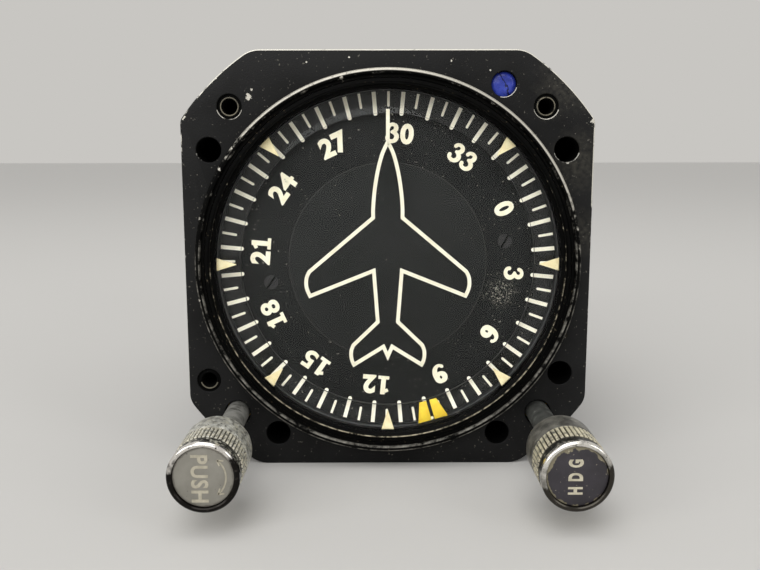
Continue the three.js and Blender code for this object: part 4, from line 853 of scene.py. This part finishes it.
card = {"radius": 34.8, "front": 3.5, "back": 4.5, "plate": 20.5, "plateFront": 3.2, "ink": 0.05, "reading": 294.7,
        "tickOuter": 34.55, "longInner": 29.85, "shortInner": 31.6, "longWidth": 0.82, "shortWidth": 0.52,
        "numberReach": 26.35, "numberSize": 5.25, "bold": 0.17, "wide": 1.08, "pitch": 3.0,
        "screwReach": 24.6, "screwTurn": math.radians(10), "screwHead": 1.45, "screwFront": 3.2, "headLength": 0.35,
        "slot": 0.44, "slotDepth": 0.25, "shank": 0.8, "shankFront": 0.3, "shankBack": 6.0, "slotLean": -1.05,
        "leanStep": 0.1}
ink = (card["front"] - card["ink"], card["front"] + card["ink"])

# stroke and width of the figures that differ from the others
figureShapes = {"2": (0.24, 1.02), "4": (0.15, 1.18), "7": (0.3, 0.95), "0": (0.25, 0.98)}
# figures with round curled ends, drawn as strokes of (x, z, half their width); the 9 is the 6 turned over
bowlSteps = 32
strokeStep = 0.004
figureStrokes = {
    "3": [[(-0.85, 1.02, 0.38), (-0.66, 1.42, 0.36), (-0.1, 1.68, 0.36), (0.5, 1.5, 0.42), (0.72, 1.0, 0.46),
           (0.5, 0.45, 0.42), (-0.1, 0.16, 0.3)],
          [(-0.1, 0.16, 0.3), (0.5, -0.02, 0.42), (0.92, -0.55, 0.48), (0.82, -1.2, 0.46), (0.3, -1.64, 0.4),
           (-0.35, -1.68, 0.38), (-0.82, -1.42, 0.38), (-0.95, -1.02, 0.4)]],
    "6": [[(0.82 * math.cos(i * math.pi / 16), -0.8 + 0.82 * math.sin(i * math.pi / 16),
            0.44 + 0.14 * abs(math.cos(i * math.pi / 16))) for i in range(bowlSteps)],
          [(-0.84, -0.7, 0.58), (-0.86, 0.2, 0.56), (-0.66, 1.0, 0.5), (-0.2, 1.55, 0.42), (0.4, 1.74, 0.34),
           (0.86, 1.58, 0.32), (1.08, 1.32, 0.36)]]}


def makeCard():
    bm = bmesh.new()
    disc(bm, card["radius"], card["front"], card["back"], steps=fineRound)
    placePiece(bm, "compassCard", "card", [finish["dial"]], replaces=("compass_card",), bevel=0.08)
    bm = bmesh.new()
    disc(bm, card["plate"], card["plateFront"], card["front"], steps=fineRound)
    placePiece(bm, "cardCentrePlate", "card", [finish["dialCentre"]], replaces=("card_center_plate",),
               bevel=0.08)


# a tick every 5 degrees, a long one with a round inner end every 10
def makeTicks():
    bm = bmesh.new()
    for i in range(72):
        isLong = i % 2 == 0
        half = (card["longWidth"] if isLong else card["shortWidth"]) / 2
        inner = card["longInner"] if isLong else card["shortInner"]
        verts = block(bm, (-half, ink[0], inner + half), (half, ink[1], card["tickOuter"]))
        verts += disc(bm, half, ink[0] + hair, ink[1] - hair, (0, inner + half), 12)
        turn(bm, verts, math.radians(i * 5 - card["reading"]))
    placePiece(bm, "cardTicks", "card", [finish["tick"]])


# text as a flat mesh in the x-z plane, facing the viewer, its middle on the origin
def letters(bm, text, size, bold, front, back, spacing=1.0, narrow=1.0):
    curve = bpy.data.curves.new("letters", "FONT")
    curve.body, curve.size, curve.offset = text, size, bold
    curve.align_x, curve.align_y = "CENTER", "CENTER"
    curve.space_character = spacing
    curve.extrude = (back - front) / 2
    curve.resolution_u = 4
    holder = bpy.data.objects.new("letters", curve)
    bpy.context.scene.collection.objects.link(holder)
    mesh = bpy.data.meshes.new_from_object(holder.evaluated_get(bpy.context.evaluated_depsgraph_get()))
    bpy.data.objects.remove(holder)
    bpy.data.curves.remove(curve)
    before = set(bm.verts)
    bm.from_mesh(mesh)
    bpy.data.meshes.remove(mesh)
    verts = [v for v in bm.verts if v not in before]
    xs = [v.co.x for v in verts]
    ys = [v.co.y for v in verts]
    middle = ((min(xs) + max(xs)) / 2, (min(ys) + max(ys)) / 2, 0)
    bmesh.ops.translate(bm, verts=verts, vec=[-c for c in middle])
    bmesh.ops.scale(bm, verts=verts, vec=(narrow, 1, 1))
    bmesh.ops.rotate(bm, verts=verts, cent=(0, 0, 0), matrix=Matrix.Rotation(math.pi / 2, 3, "X"))
    bmesh.ops.translate(bm, verts=verts, vec=(0, (front + back) / 2, 0))
    return verts


one = {"half": 2.0, "stem": 0.5, "foot": 1.15, "footTop": -1.3, "flag": 1.3, "flagHalf": 0.36,
       "flagTurn": math.radians(-28), "flagShift": (0.05, 0, 1.55)}


# a 1 with a flag and a foot, as on such cards; the bars differ a hair in height
def numberOne(bm, middle):
    front, back = ink
    verts = block(bm, (-one["stem"], front, -one["half"]), (one["stem"], back, one["half"]))
    verts += block(bm, (-one["foot"], front + hair, -one["half"]), (one["foot"], back, one["footTop"]))
    flag = block(bm, (-one["flag"], front + 2 * hair, -one["flagHalf"]), (0.0, back, one["flagHalf"]))
    turn(bm, flag, one["flagTurn"])
    bmesh.ops.translate(bm, verts=flag, vec=one["flagShift"])
    bmesh.ops.translate(bm, verts=verts + flag, vec=(middle, 0, 0))
    return verts + flag


# the strokes of a curled figure, each a hair behind the one before, with round ends
def curledFigure(bm, figure, middle):
    front, back = ink
    strokes = figureStrokes["6" if figure == "9" else figure]
    verts = []
    for i, stroke in enumerate(strokes):
        isBowl = len(strokes[0]) == bowlSteps and i == 0
        path = stroke if isBowl else smoothRun(stroke)
        level = front + i * strokeStep
        verts += band(bm, path, level, back, closed=isBowl)
        for x, z, half in () if isBowl else (path[0], path[-1]):
            verts += disc(bm, half, level + strokeStep / 2, back - strokeStep / 2, (x, z), 24)
    if figure == "9":
        turn(bm, verts, math.pi)
    bmesh.ops.translate(bm, verts=verts, vec=(middle, 0, 0))
    return verts


def makeNumbers():
    bm = bmesh.new()
    for number in range(0, 36, 3):
        text = str(number)
        verts = []
        for i, figure in enumerate(text):
            middle = (i - (len(text) - 1) / 2) * card["pitch"]
            if figure == "1":
                verts += numberOne(bm, middle)
            elif figure in "369":
                verts += curledFigure(bm, figure, middle)
            else:
                bold, wide = figureShapes.get(figure, (card["bold"], card["wide"]))
                glyph = letters(bm, figure, card["numberSize"], bold, *ink, narrow=wide)
                bmesh.ops.translate(bm, verts=glyph, vec=(middle, 0, 0))
                verts += glyph
        bmesh.ops.translate(bm, verts=verts, vec=(0, 0, card["numberReach"]))
        turn(bm, verts, math.radians(number * 10 - card["reading"]))
    placePiece(bm, "cardNumbers", "card", [finish["cream"]])


# a flat head with a slot across it
def slottedHead(bm, radius, front, back, slotWidth, slotDepth, steps=48):
    head, groove = bmesh.new(), bmesh.new()
    disc(head, radius, front, back, steps=steps)
    block(groove, (-radius * 2, front - 1, -slotWidth / 2), (radius * 2, front + slotDepth, slotWidth / 2))
    joinInto(bm, carve(head, groove, "DIFFERENCE"))


# the slot gets the near-black paint inside, a painted shade
def makeCardScrews():
    front = card["screwFront"]
    for i in range(2):
        bm = bmesh.new()
        slottedHead(bm, card["screwHead"], front, front + card["headLength"], card["slot"], card["slotDepth"])
        for face in bm.faces:
            middle = face.calc_center_median()
            if middle.y > front + 0.05 and math.hypot(middle.x, middle.z) < card["screwHead"] - 0.05:
                face.material_index = 1
        disc(bm, card["shank"], front + card["shankFront"], card["shankBack"], steps=24)
        turn(bm, bm.verts, card["slotLean"] + i * card["leanStep"])
        place = polar(card["screwReach"], card["screwTurn"] + i * math.pi)
        placePiece(bm, f"cardScrew{i + 1}", "card", [finish["screwBlack"], finish["bore"]], place,
                   (f"card_screw_{i + 1}",))


makeCard()
makeTicks()
makeNumbers()
makeCardScrews()
print("compass card made")

bug = {"turn": math.radians(163.9), "outer": 34.7, "inner": 30.4, "outerHalf": 3.22, "innerHalf": 1.84, "gap": 0.34,
       "front": 1.5, "base": 1.88, "ring": 2.0, "ringBack": 2.8, "ringInner": 30.25, "ringOuter": 36.05,
       "drumInner": 35.1, "drumBack": 8.7, "round": 0.12, "padInset": 0.4, "dot": 0.3, "dotShift": 0.1}


# clear ring with a sawn inner edge, the drum behind it, and the bug's two lobes on a dark pad with a pale dot
def makeBug():
    bm = bmesh.new()
    spun(bm, [(bug["ringInner"], bug["ring"]), (bug["ringOuter"], bug["ring"]), (bug["ringOuter"], bug["ringBack"]),
              (bug["ringInner"], bug["ringBack"])], fineRound)
    for face in bm.faces:
        middle = face.calc_center_median()
        if math.hypot(middle.x, middle.z) < bug["ringInner"] + 0.1:
            face.material_index = 1
    placePiece(bm, "bugRing", "bug", [finish["acrylic"], finish["acrylicEdge"]],
               replaces=("bug_ring",), bevel=0.06)
    bm = bmesh.new()
    spun(bm, [(bug["drumInner"], bug["ringBack"]), (bug["ringOuter"], bug["ringBack"]),
              (bug["ringOuter"], bug["drumBack"]), (bug["drumInner"], bug["drumBack"])], fineRound)
    placePiece(bm, "bugDrum", "bug", [finish["alloy"]], replaces=("bug_drum",))
    bm = bmesh.new()
    for side in (1, -1):
        near, innerFar, outerFar = (side * bug[k] for k in ("gap", "innerHalf", "outerHalf"))
        verts = block(bm, (min(near, outerFar), bug["front"], bug["inner"]),
                      (max(near, outerFar), bug["base"], bug["outer"]))
        for v in verts:
            if v.co.z < bug["outer"] - 1 and abs(v.co.x) > 1:
                v.co.x = innerFar
    block(bm, (-bug["innerHalf"], bug["base"] - 0.05, bug["inner"] + bug["padInset"]),
          (bug["innerHalf"], bug["ring"], bug["outer"] - bug["padInset"]), 1)
    roundEdges(bm, bug["round"])
    disc(bm, bug["dot"], bug["front"] - 0.02, bug["base"], (bug["dotShift"], bug["outer"] - bug["padInset"]), 16, 2)
    turn(bm, bm.verts, bug["turn"])
    placePiece(bm, "headingBug", "bug", [finish["yellow"], finish["blackened"], finish["cream"]],
               replaces=("heading_bug",))


makeBug()

# outlines of (radius, y), counted from the face, from the back of the knurl and from the flange
knob = {"face": 36.0, "rimLength": 1.2, "groove": 6.04, "core": 5.35, "knurlFront": 32.55, "knurlBack": 27.4,
        "knurlRoot": 5.8, "ribGap": 0.16, "ribRise": 0.42, "disc": 5.2, "recess": 0.5, "discBack": 1.7,
        "rim": [(2.53, 1.7), (5.25, 1.7), (5.25, 0.5), (5.35, 0.14), (5.55, 0), (5.8, 0.02), (6.02, 0.12),
                (6.2, 0.35), (6.2, 1.2)],
        "shoulder": [(6.0, 0), (6.2, 0.3), (6.25, 0.7)],
        "skirt": [(6.25, -22.0), (6.1, -21.1), (5.75, -20.3), (5.1, -19.5), (4.6, -19.1), (4.2, -19.0),
                  (2.53, -19.0)]}


# turned knob body with its knurled band, each rib raised from its own face
def makeKnob(side, place, body, node, knurls):
    face, groove, core = -knob["face"], knob["groove"], knob["core"]
    rimBack, front, back = face + knob["rimLength"], -knob["knurlFront"], -knob["knurlBack"]
    bm = bmesh.new()
    spun(bm, [(r, face + y) for r, y in knob["rim"]] + [
        (groove, rimBack + 0.1), (groove, front - 0.03), (core, front + 0.1), (core, back - 0.2)] + [
        (r, back + y) for r, y in knob["shoulder"]] + knob["skirt"], smooth)
    for f in bm.faces:
        if f.calc_center_median().y < rimBack - 0.01:
            f.material_index = 1
    ribs = bmesh.new()
    bmesh.ops.create_cone(ribs, cap_ends=True, segments=knurls, radius1=knob["knurlRoot"], radius2=knob["knurlRoot"],
                          depth=back - front,
                          matrix=Matrix.Translation((0, (front + back) / 2, 0)) @ Matrix.Rotation(math.pi / 2, 4, "X"))
    bmesh.ops.inset_individual(ribs, faces=[f for f in ribs.faces if len(f.verts) == 4], thickness=knob["ribGap"],
                               depth=knob["ribRise"], use_even_offset=True)
    joinInto(bm, ribs)
    placePiece(bm, side + "Knob", body, [finish[side + "Knob"], finish[side + "Rim"]], place, (node,))


stem = {"radius": 2.38, "front": -34.3, "neck": 1.55, "neckFront": 8.5, "neckBack": 11.5, "teeth": 8,
        "tooth": 2.5, "toothRoot": 1.2, "toothHalf": 0.28}


# shaft with a pinion cut into its neck, a gap between two teeth towards the dial's axis
def makeStem(side, place, body, node, back):
    bm = bmesh.new()
    disc(bm, stem["radius"], stem["front"], stem["neckFront"] + 0.1, steps=64)
    disc(bm, stem["neck"], stem["neckFront"], stem["neckBack"], steps=32)
    inward = math.atan2(place[1], place[0]) + math.pi
    for i in range(stem["teeth"]):
        verts = block(bm, (stem["toothRoot"], stem["neckFront"] - 0.05, -stem["toothHalf"]),
                      (stem["tooth"], stem["neckBack"] + 0.05, stem["toothHalf"]))
        turn(bm, verts, -inward - (2 * i + 1) * math.pi / stem["teeth"])
    disc(bm, stem["radius"], stem["neckBack"] - 0.1, back, steps=64)
    placePiece(bm, side + "Stem", body, [finish[side + "Stem"]], place, (node,))


def makeDisc(side, place, body, node):
    bm = bmesh.new()
    disc(bm, knob["disc"], -knob["face"] + knob["recess"], -knob["face"] + knob["discBack"], steps=96)
    placePiece(bm, side + "Disc", body, [finish[side + "Label"]], place, (node,), bevel=0.06)


makeKnob("cage", cagePlace, "caging_knob", "cage_knob", 54)
makeKnob("hdg", hdgPlace, "heading_knob", "hdg_knob", 46)
makeStem("cage", cagePlace, "caging_knob", "cage_shaft", 23.5)
makeStem("hdg", hdgPlace, "heading_knob", "hdg_shaft", 13.0)
makeDisc("cage", cagePlace, "caging_knob", "cage_cap")
makeDisc("hdg", hdgPlace, "heading_knob", "hdg_cap")
printFront, printBack = -knob["face"] + 0.46, -knob["face"] + 0.54
arc = {"radius": 3.85, "width": 0.28, "reach": math.radians(49), "steps": 24, "barb": 1.1, "barbHalf": 0.12,
       "barbLean": 0.55}
words = {
    "cage": {"text": "PUSH", "size": 3.9, "bold": 0.1, "spacing": 1.12, "narrow": 0.86, "turn": math.pi / 2,
             "shift": (-0.6, 0, -0.25)},
    "hdg": {"text": "HDG", "size": 3.2, "bold": 0.15, "spacing": 1.95, "narrow": 0.62, "turn": -math.pi / 2,
            "shift": (-0.3, 0, -0.1)},
}


def addWord(bm, word):
    verts = letters(bm, word["text"], word["size"], word["bold"], printFront, printBack, word["spacing"],
                    word["narrow"])
    turn(bm, verts, word["turn"])
    bmesh.ops.translate(bm, verts=verts, vec=word["shift"])


# words of use on the knobs: one reads down, with a two-headed arc beside it, the other reads up
def makePrint():
    bm = bmesh.new()
    addWord(bm, words["cage"])
    step = 2 * arc["reach"] / arc["steps"]
    for i in range(arc["steps"]):
        half = step * arc["radius"] / 2 + 0.02
        verts = block(bm, (-arc["width"] / 2, printFront, -half), (arc["width"] / 2, printBack, half))
        bmesh.ops.translate(bm, verts=verts, vec=(arc["radius"], 0, 0))
        turn(bm, verts, arc["reach"] - (i + 0.5) * step)
    for end in (1, -1):
        for lean in (arc["barbLean"], -arc["barbLean"]):
            verts = block(bm, (-arc["barbHalf"], printFront, 0), (arc["barbHalf"], printBack, arc["barb"]))
            turn(bm, verts, lean + (0 if end < 0 else math.pi))
            bmesh.ops.translate(bm, verts=verts, vec=(arc["radius"], 0, 0))
            turn(bm, verts, -end * arc["reach"] * 1.05)
    placePiece(bm, "cagePrint", "caging_knob", [finish["cagePrint"]], cagePlace)
    bm = bmesh.new()
    addWord(bm, words["hdg"])
    placePiece(bm, "hdgPrint", "heading_knob", [finish["hdgPrint"]], hdgPlace)


makePrint()

spring = {"coil": 3.0, "wire": 0.32, "turns": 6, "front": 15.44, "back": 27.34, "seat": 28.0, "travel": 4.0,
          "sides": 10, "turnSteps": 24}


# return spring round the left stem
def makeSpring():
    bm = bmesh.new()
    end = Matrix.Translation((spring["coil"], spring["front"], 0)) @ Matrix.Rotation(-math.pi / 2, 4, "Z")
    bmesh.ops.create_circle(bm, cap_ends=True, segments=spring["sides"], radius=spring["wire"], matrix=end)
    steps = spring["turns"] * spring["turnSteps"]
    bmesh.ops.spin(bm, geom=list(bm.verts) + list(bm.edges) + list(bm.faces), cent=(0, 0, 0), axis=(0, -1, 0),
                   dvec=(0, (spring["back"] - spring["front"]) / steps, 0), angle=2 * math.pi * spring["turns"],
                   steps=steps, use_merge=False, use_duplicate=False)
    piece = placePiece(bm, "cageSpring", "case", [finish["steel"]], cagePlace, ("cage_spring",))
    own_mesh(piece)


makeSpring()
print("knobs made")

case = {"radius": 39.0, "bore": 37.5, "boreBack": 99, "lipBore": 33.0, "front": 30.0, "flangeBack": 33.0,
        "back": 104.0, "coverBack": 107.5, "portReach": 17.0, "portHole": 5.65}


def makeCase():
    flange = outlineBlock(case["front"], case["flangeBack"], housing["inset"])
    can = bmesh.new()
    spun(can, [(0, case["front"]), (case["radius"], case["front"]), (case["radius"], case["back"]), (0, case["back"])],
         fineRound)
    body = carve(flange, mend(can), "UNION")
    bore = bmesh.new()
    spun(bore, [(0, case["front"] - 1), (case["bore"], case["front"] - 1), (case["bore"], case["boreBack"]),
                (case["lipBore"], case["boreBack"]), (case["lipBore"], case["back"] + 1),
                (0, case["back"] + 1)], fineRound)
    body = carve(body, mend(bore), "DIFFERENCE")
    placePiece(body, "caseShell", "case", [finish["rearEnamel"]], replaces=("case_shell",), bevel=0.2)
    cover = bmesh.new()
    disc(cover, case["radius"], case["back"], case["coverBack"], steps=fineRound)
    holes = bmesh.new()
    for side in (1, -1):
        disc(holes, case["portHole"], case["back"] - 1, case["coverBack"] + 1, (0, side * case["portReach"]), 64)
    cover = carve(cover, holes, "DIFFERENCE")
    placePiece(cover, "rearCover", "case", [finish["rearEnamel"]], replaces=("rear_cover",), bevel=0.35,
               segments=3)


caseScrew = {"radius": 1.5, "head": 3.0, "length": 2.2, "seat": 33.0, "grip": 22.0, "lean": 0.4, "leanStep": 1.1}
rearScrew = {"radius": 1.2, "head": 2.4, "length": 1.6, "seat": 107.5, "grip": 100.0, "lean": 0.9, "leanStep": 0.8,
             "reach": 35.4}


# slotted cheese head with a shank; all screws are made alike
def makeScrew(name, node, place, screw, lean):
    head, seat, length = screw["head"], screw["seat"], screw["length"]
    bm = bmesh.new()
    top, groove = bmesh.new(), bmesh.new()
    disc(top, head, seat, seat + length, steps=48)
    roundEdges(top, head * 0.12, 3)
    block(groove, (-head * 2, seat + length * 0.5, -head / 6), (head * 2, seat + length + 1, head / 6))
    joinInto(bm, carve(top, groove, "DIFFERENCE"))
    disc(bm, screw["radius"], screw["grip"], seat + 0.15, steps=24)
    turn(bm, bm.verts, lean)
    placePiece(bm, name, "case", [finish["steel"]], place, (node,))


port = {"tail": [(3.5, 104.0), (5.5, 104.0), (5.5, 107.65), (6.4, 107.65), (6.4, 113.6)],
        "end": [(6.0, 122.2), (5.7, 122.5), (3.8, 122.5), (3.5, 122.2)], "turns": 9, "threadFront": 113.9,
        "pitch": 0.9, "root": 6.0, "crest": 6.5, "hexagon": 9.5, "front": 107.5, "back": 113.5, "drill": 6.2,
        "drillFront": 106, "drillBack": 115,
        "chamfer": [(0, 106.0), (9.3, 106.0), (9.3, 112.6), (8.3, 113.6), (0, 113.6)]}


# hexagon fitting with a threaded tail and a clear bore
def makePort(name, node, side):
    bm = bmesh.new()
    tail = list(port["tail"])
    for i in range(port["turns"]):
        y = port["threadFront"] + i * port["pitch"]
        tail += [(port["root"], y), (port["crest"], y + 0.3), (port["crest"], y + 0.42), (port["root"], y + 0.75)]
    spun(bm, tail + port["end"], 96)
    hexagon, drill, chamfer = bmesh.new(), bmesh.new(), bmesh.new()
    disc(hexagon, port["hexagon"], port["front"], port["back"], steps=6)
    turn(hexagon, hexagon.verts, math.pi / 6)
    disc(drill, port["drill"], port["drillFront"], port["drillBack"], steps=96)
    spun(chamfer, port["chamfer"], 96)
    joinInto(bm, carve(carve(hexagon, drill, "DIFFERENCE"), mend(chamfer), "INTERSECT"))
    placePiece(bm, name, "case", [finish["alloy"]], (0, side * case["portReach"]), (node,))


makeCase()
for i, place in enumerate(caseScrewPlaces):
    lean = caseScrew["lean"] + i * caseScrew["leanStep"]
    makeScrew(f"caseScrew{i + 1}", f"case_screw_{i + 1}", place, caseScrew, lean)
for i in range(3):
    place = polar(rearScrew["reach"], math.pi / 2 + i * 2 * math.pi / 3)
    lean = rearScrew["lean"] + i * rearScrew["leanStep"]
    makeScrew(f"rearScrew{i + 1}", f"rear_screw_{i + 1}", place, rearScrew, lean)
makePort("airInletPort", "air_inlet_port", 1)
makePort("vacuumPort", "vacuum_port", -1)
print("case made")

nodeFinish = {
    "alloy": ["card_hub", "bearing_plate", "gimbal_frame", "outer_gimbal", "inner_gimbal"],
    "brass": ["card_gear", "hdg_bush", "cage_bush", "hdg_idler", "cage_idler", "azimuth_gear", "rotor"],
    "steel": ["cage_carriage", "caging_arm", "card_bearing", "transfer_shaft", "upper_bearing",
              "lower_bearing", "tilt_bearing_left", "tilt_bearing_right", "rotor_bearing_front", "rotor_bearing_rear",
              "rotor_axle"],
    "felt": ["air_filter"],
}
for name, nodes in nodeFinish.items():
    for node in nodes:
        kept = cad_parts[node]
        if not kept.material_slots:
            kept.data.materials.append(finish[name])
        for held in kept.material_slots:
            held.material = finish[name]

stage = {"floor": "#cac8c4", "seen": "#c8c6c2", "room": "#ffffff", "roomStrength": 0.5, "floorSize": 6.0}


def makeStage():
    bm = bmesh.new()
    bmesh.ops.create_grid(bm, x_segments=1, y_segments=1, size=stage["floorSize"])
    mesh = bpy.data.meshes.new("floor")
    bm.to_mesh(mesh)
    bm.free()
    floor = bpy.data.objects.new("floor", mesh)
    bpy.context.scene.collection.objects.link(floor)
    material, tree, _ = startMaterial("paleFloor")
    shader = addNode(tree, "ShaderNodeBsdfPrincipled", {
        "Base Color": hexColor(stage["floor"]), "Roughness": 0.9, "Specular IOR Level": 0.1})
    addNode(tree, "ShaderNodeOutputMaterial", {"Surface": shader.outputs["BSDF"]})
    mesh.materials.append(material)
    world = bpy.data.worlds.new("softRoom")
    world.use_nodes = True
    tree = world.node_tree
    tree.nodes.clear()
    room = addNode(tree, "ShaderNodeBackground", {
        "Color": hexColor(stage["room"]), "Strength": stage["roomStrength"]})
    seen = addNode(tree, "ShaderNodeBackground", {"Color": hexColor(stage["seen"]), "Strength": 1.0})
    path = addNode(tree, "ShaderNodeLightPath").outputs
    share = addNode(tree, "ShaderNodeMath", {0: path["Is Camera Ray"], 1: path["Is Transmission Ray"]},
                    operation="MAXIMUM")
    share = addNode(tree, "ShaderNodeMath", {0: share, 1: path["Is Glossy Ray"]}, operation="MAXIMUM")
    mix = addNode(tree, "ShaderNodeMixShader", {0: share, 1: room, 2: seen})
    addNode(tree, "ShaderNodeOutputWorld", {"Surface": mix})
    bpy.context.scene.world = world


lampTarget = (0, 0, 0.04)
lamps = {
    "ceilingLamp": {"place": (-0.1, -0.25, 1.0), "size": 0.8, "power": 2.6},
    "leftLamp": {"place": (-0.85, -0.75, 0.5), "size": 0.5, "power": 2.4},
    "rightLamp": {"place": (0.85, -0.75, 0.5), "size": 0.5, "power": 1.8},
}
sun = {"source": (-0.22, -0.85, 0.72), "angle": 44, "power": 1.3}


def addLamp(name, look):
    lamp = bpy.data.lights.new(name, "AREA")
    lamp.shape, lamp.size, lamp.energy = "DISK", look["size"], look["power"]
    holder = bpy.data.objects.new(name, lamp)
    holder.location = look["place"]
    holder.rotation_euler = (Vector(lampTarget) - Vector(look["place"])).to_track_quat("-Z", "Y").to_euler()
    bpy.context.scene.collection.objects.link(holder)


# broad even daylight from above and in front, so that the floor is as pale far off as near
def addSun(name):
    lamp = bpy.data.lights.new(name, "SUN")
    lamp.energy, lamp.angle = sun["power"], math.radians(sun["angle"])
    holder = bpy.data.objects.new(name, lamp)
    holder.rotation_euler = (-Vector(sun["source"])).to_track_quat("-Z", "Y").to_euler()
    bpy.context.scene.collection.objects.link(holder)


makeStage()
addSun("windowLight")
for name, look in lamps.items():
    addLamp(name, look)

view = {"place": (-0.00217, -0.21309, 0.06459), "pitch": 0.1548, "yaw": 0.0036, "roll": -0.0012, "lens": 39.80,
        "sensor": 36.0, "near": 0.005}
cameraData = bpy.data.cameras.new("photoCamera")
cameraData.lens, cameraData.sensor_width, cameraData.clip_start = view["lens"], view["sensor"], view["near"]
camera = bpy.data.objects.new("photoCamera", cameraData)
camera.location = view["place"]
camera.rotation_euler = (math.pi / 2 - view["pitch"], -view["roll"], -view["yaw"])
bpy.context.scene.collection.objects.link(camera)
bpy.context.scene.camera = camera
bpy.context.scene.view_settings.view_transform = "Standard"
print("stage, lamps and camera set")
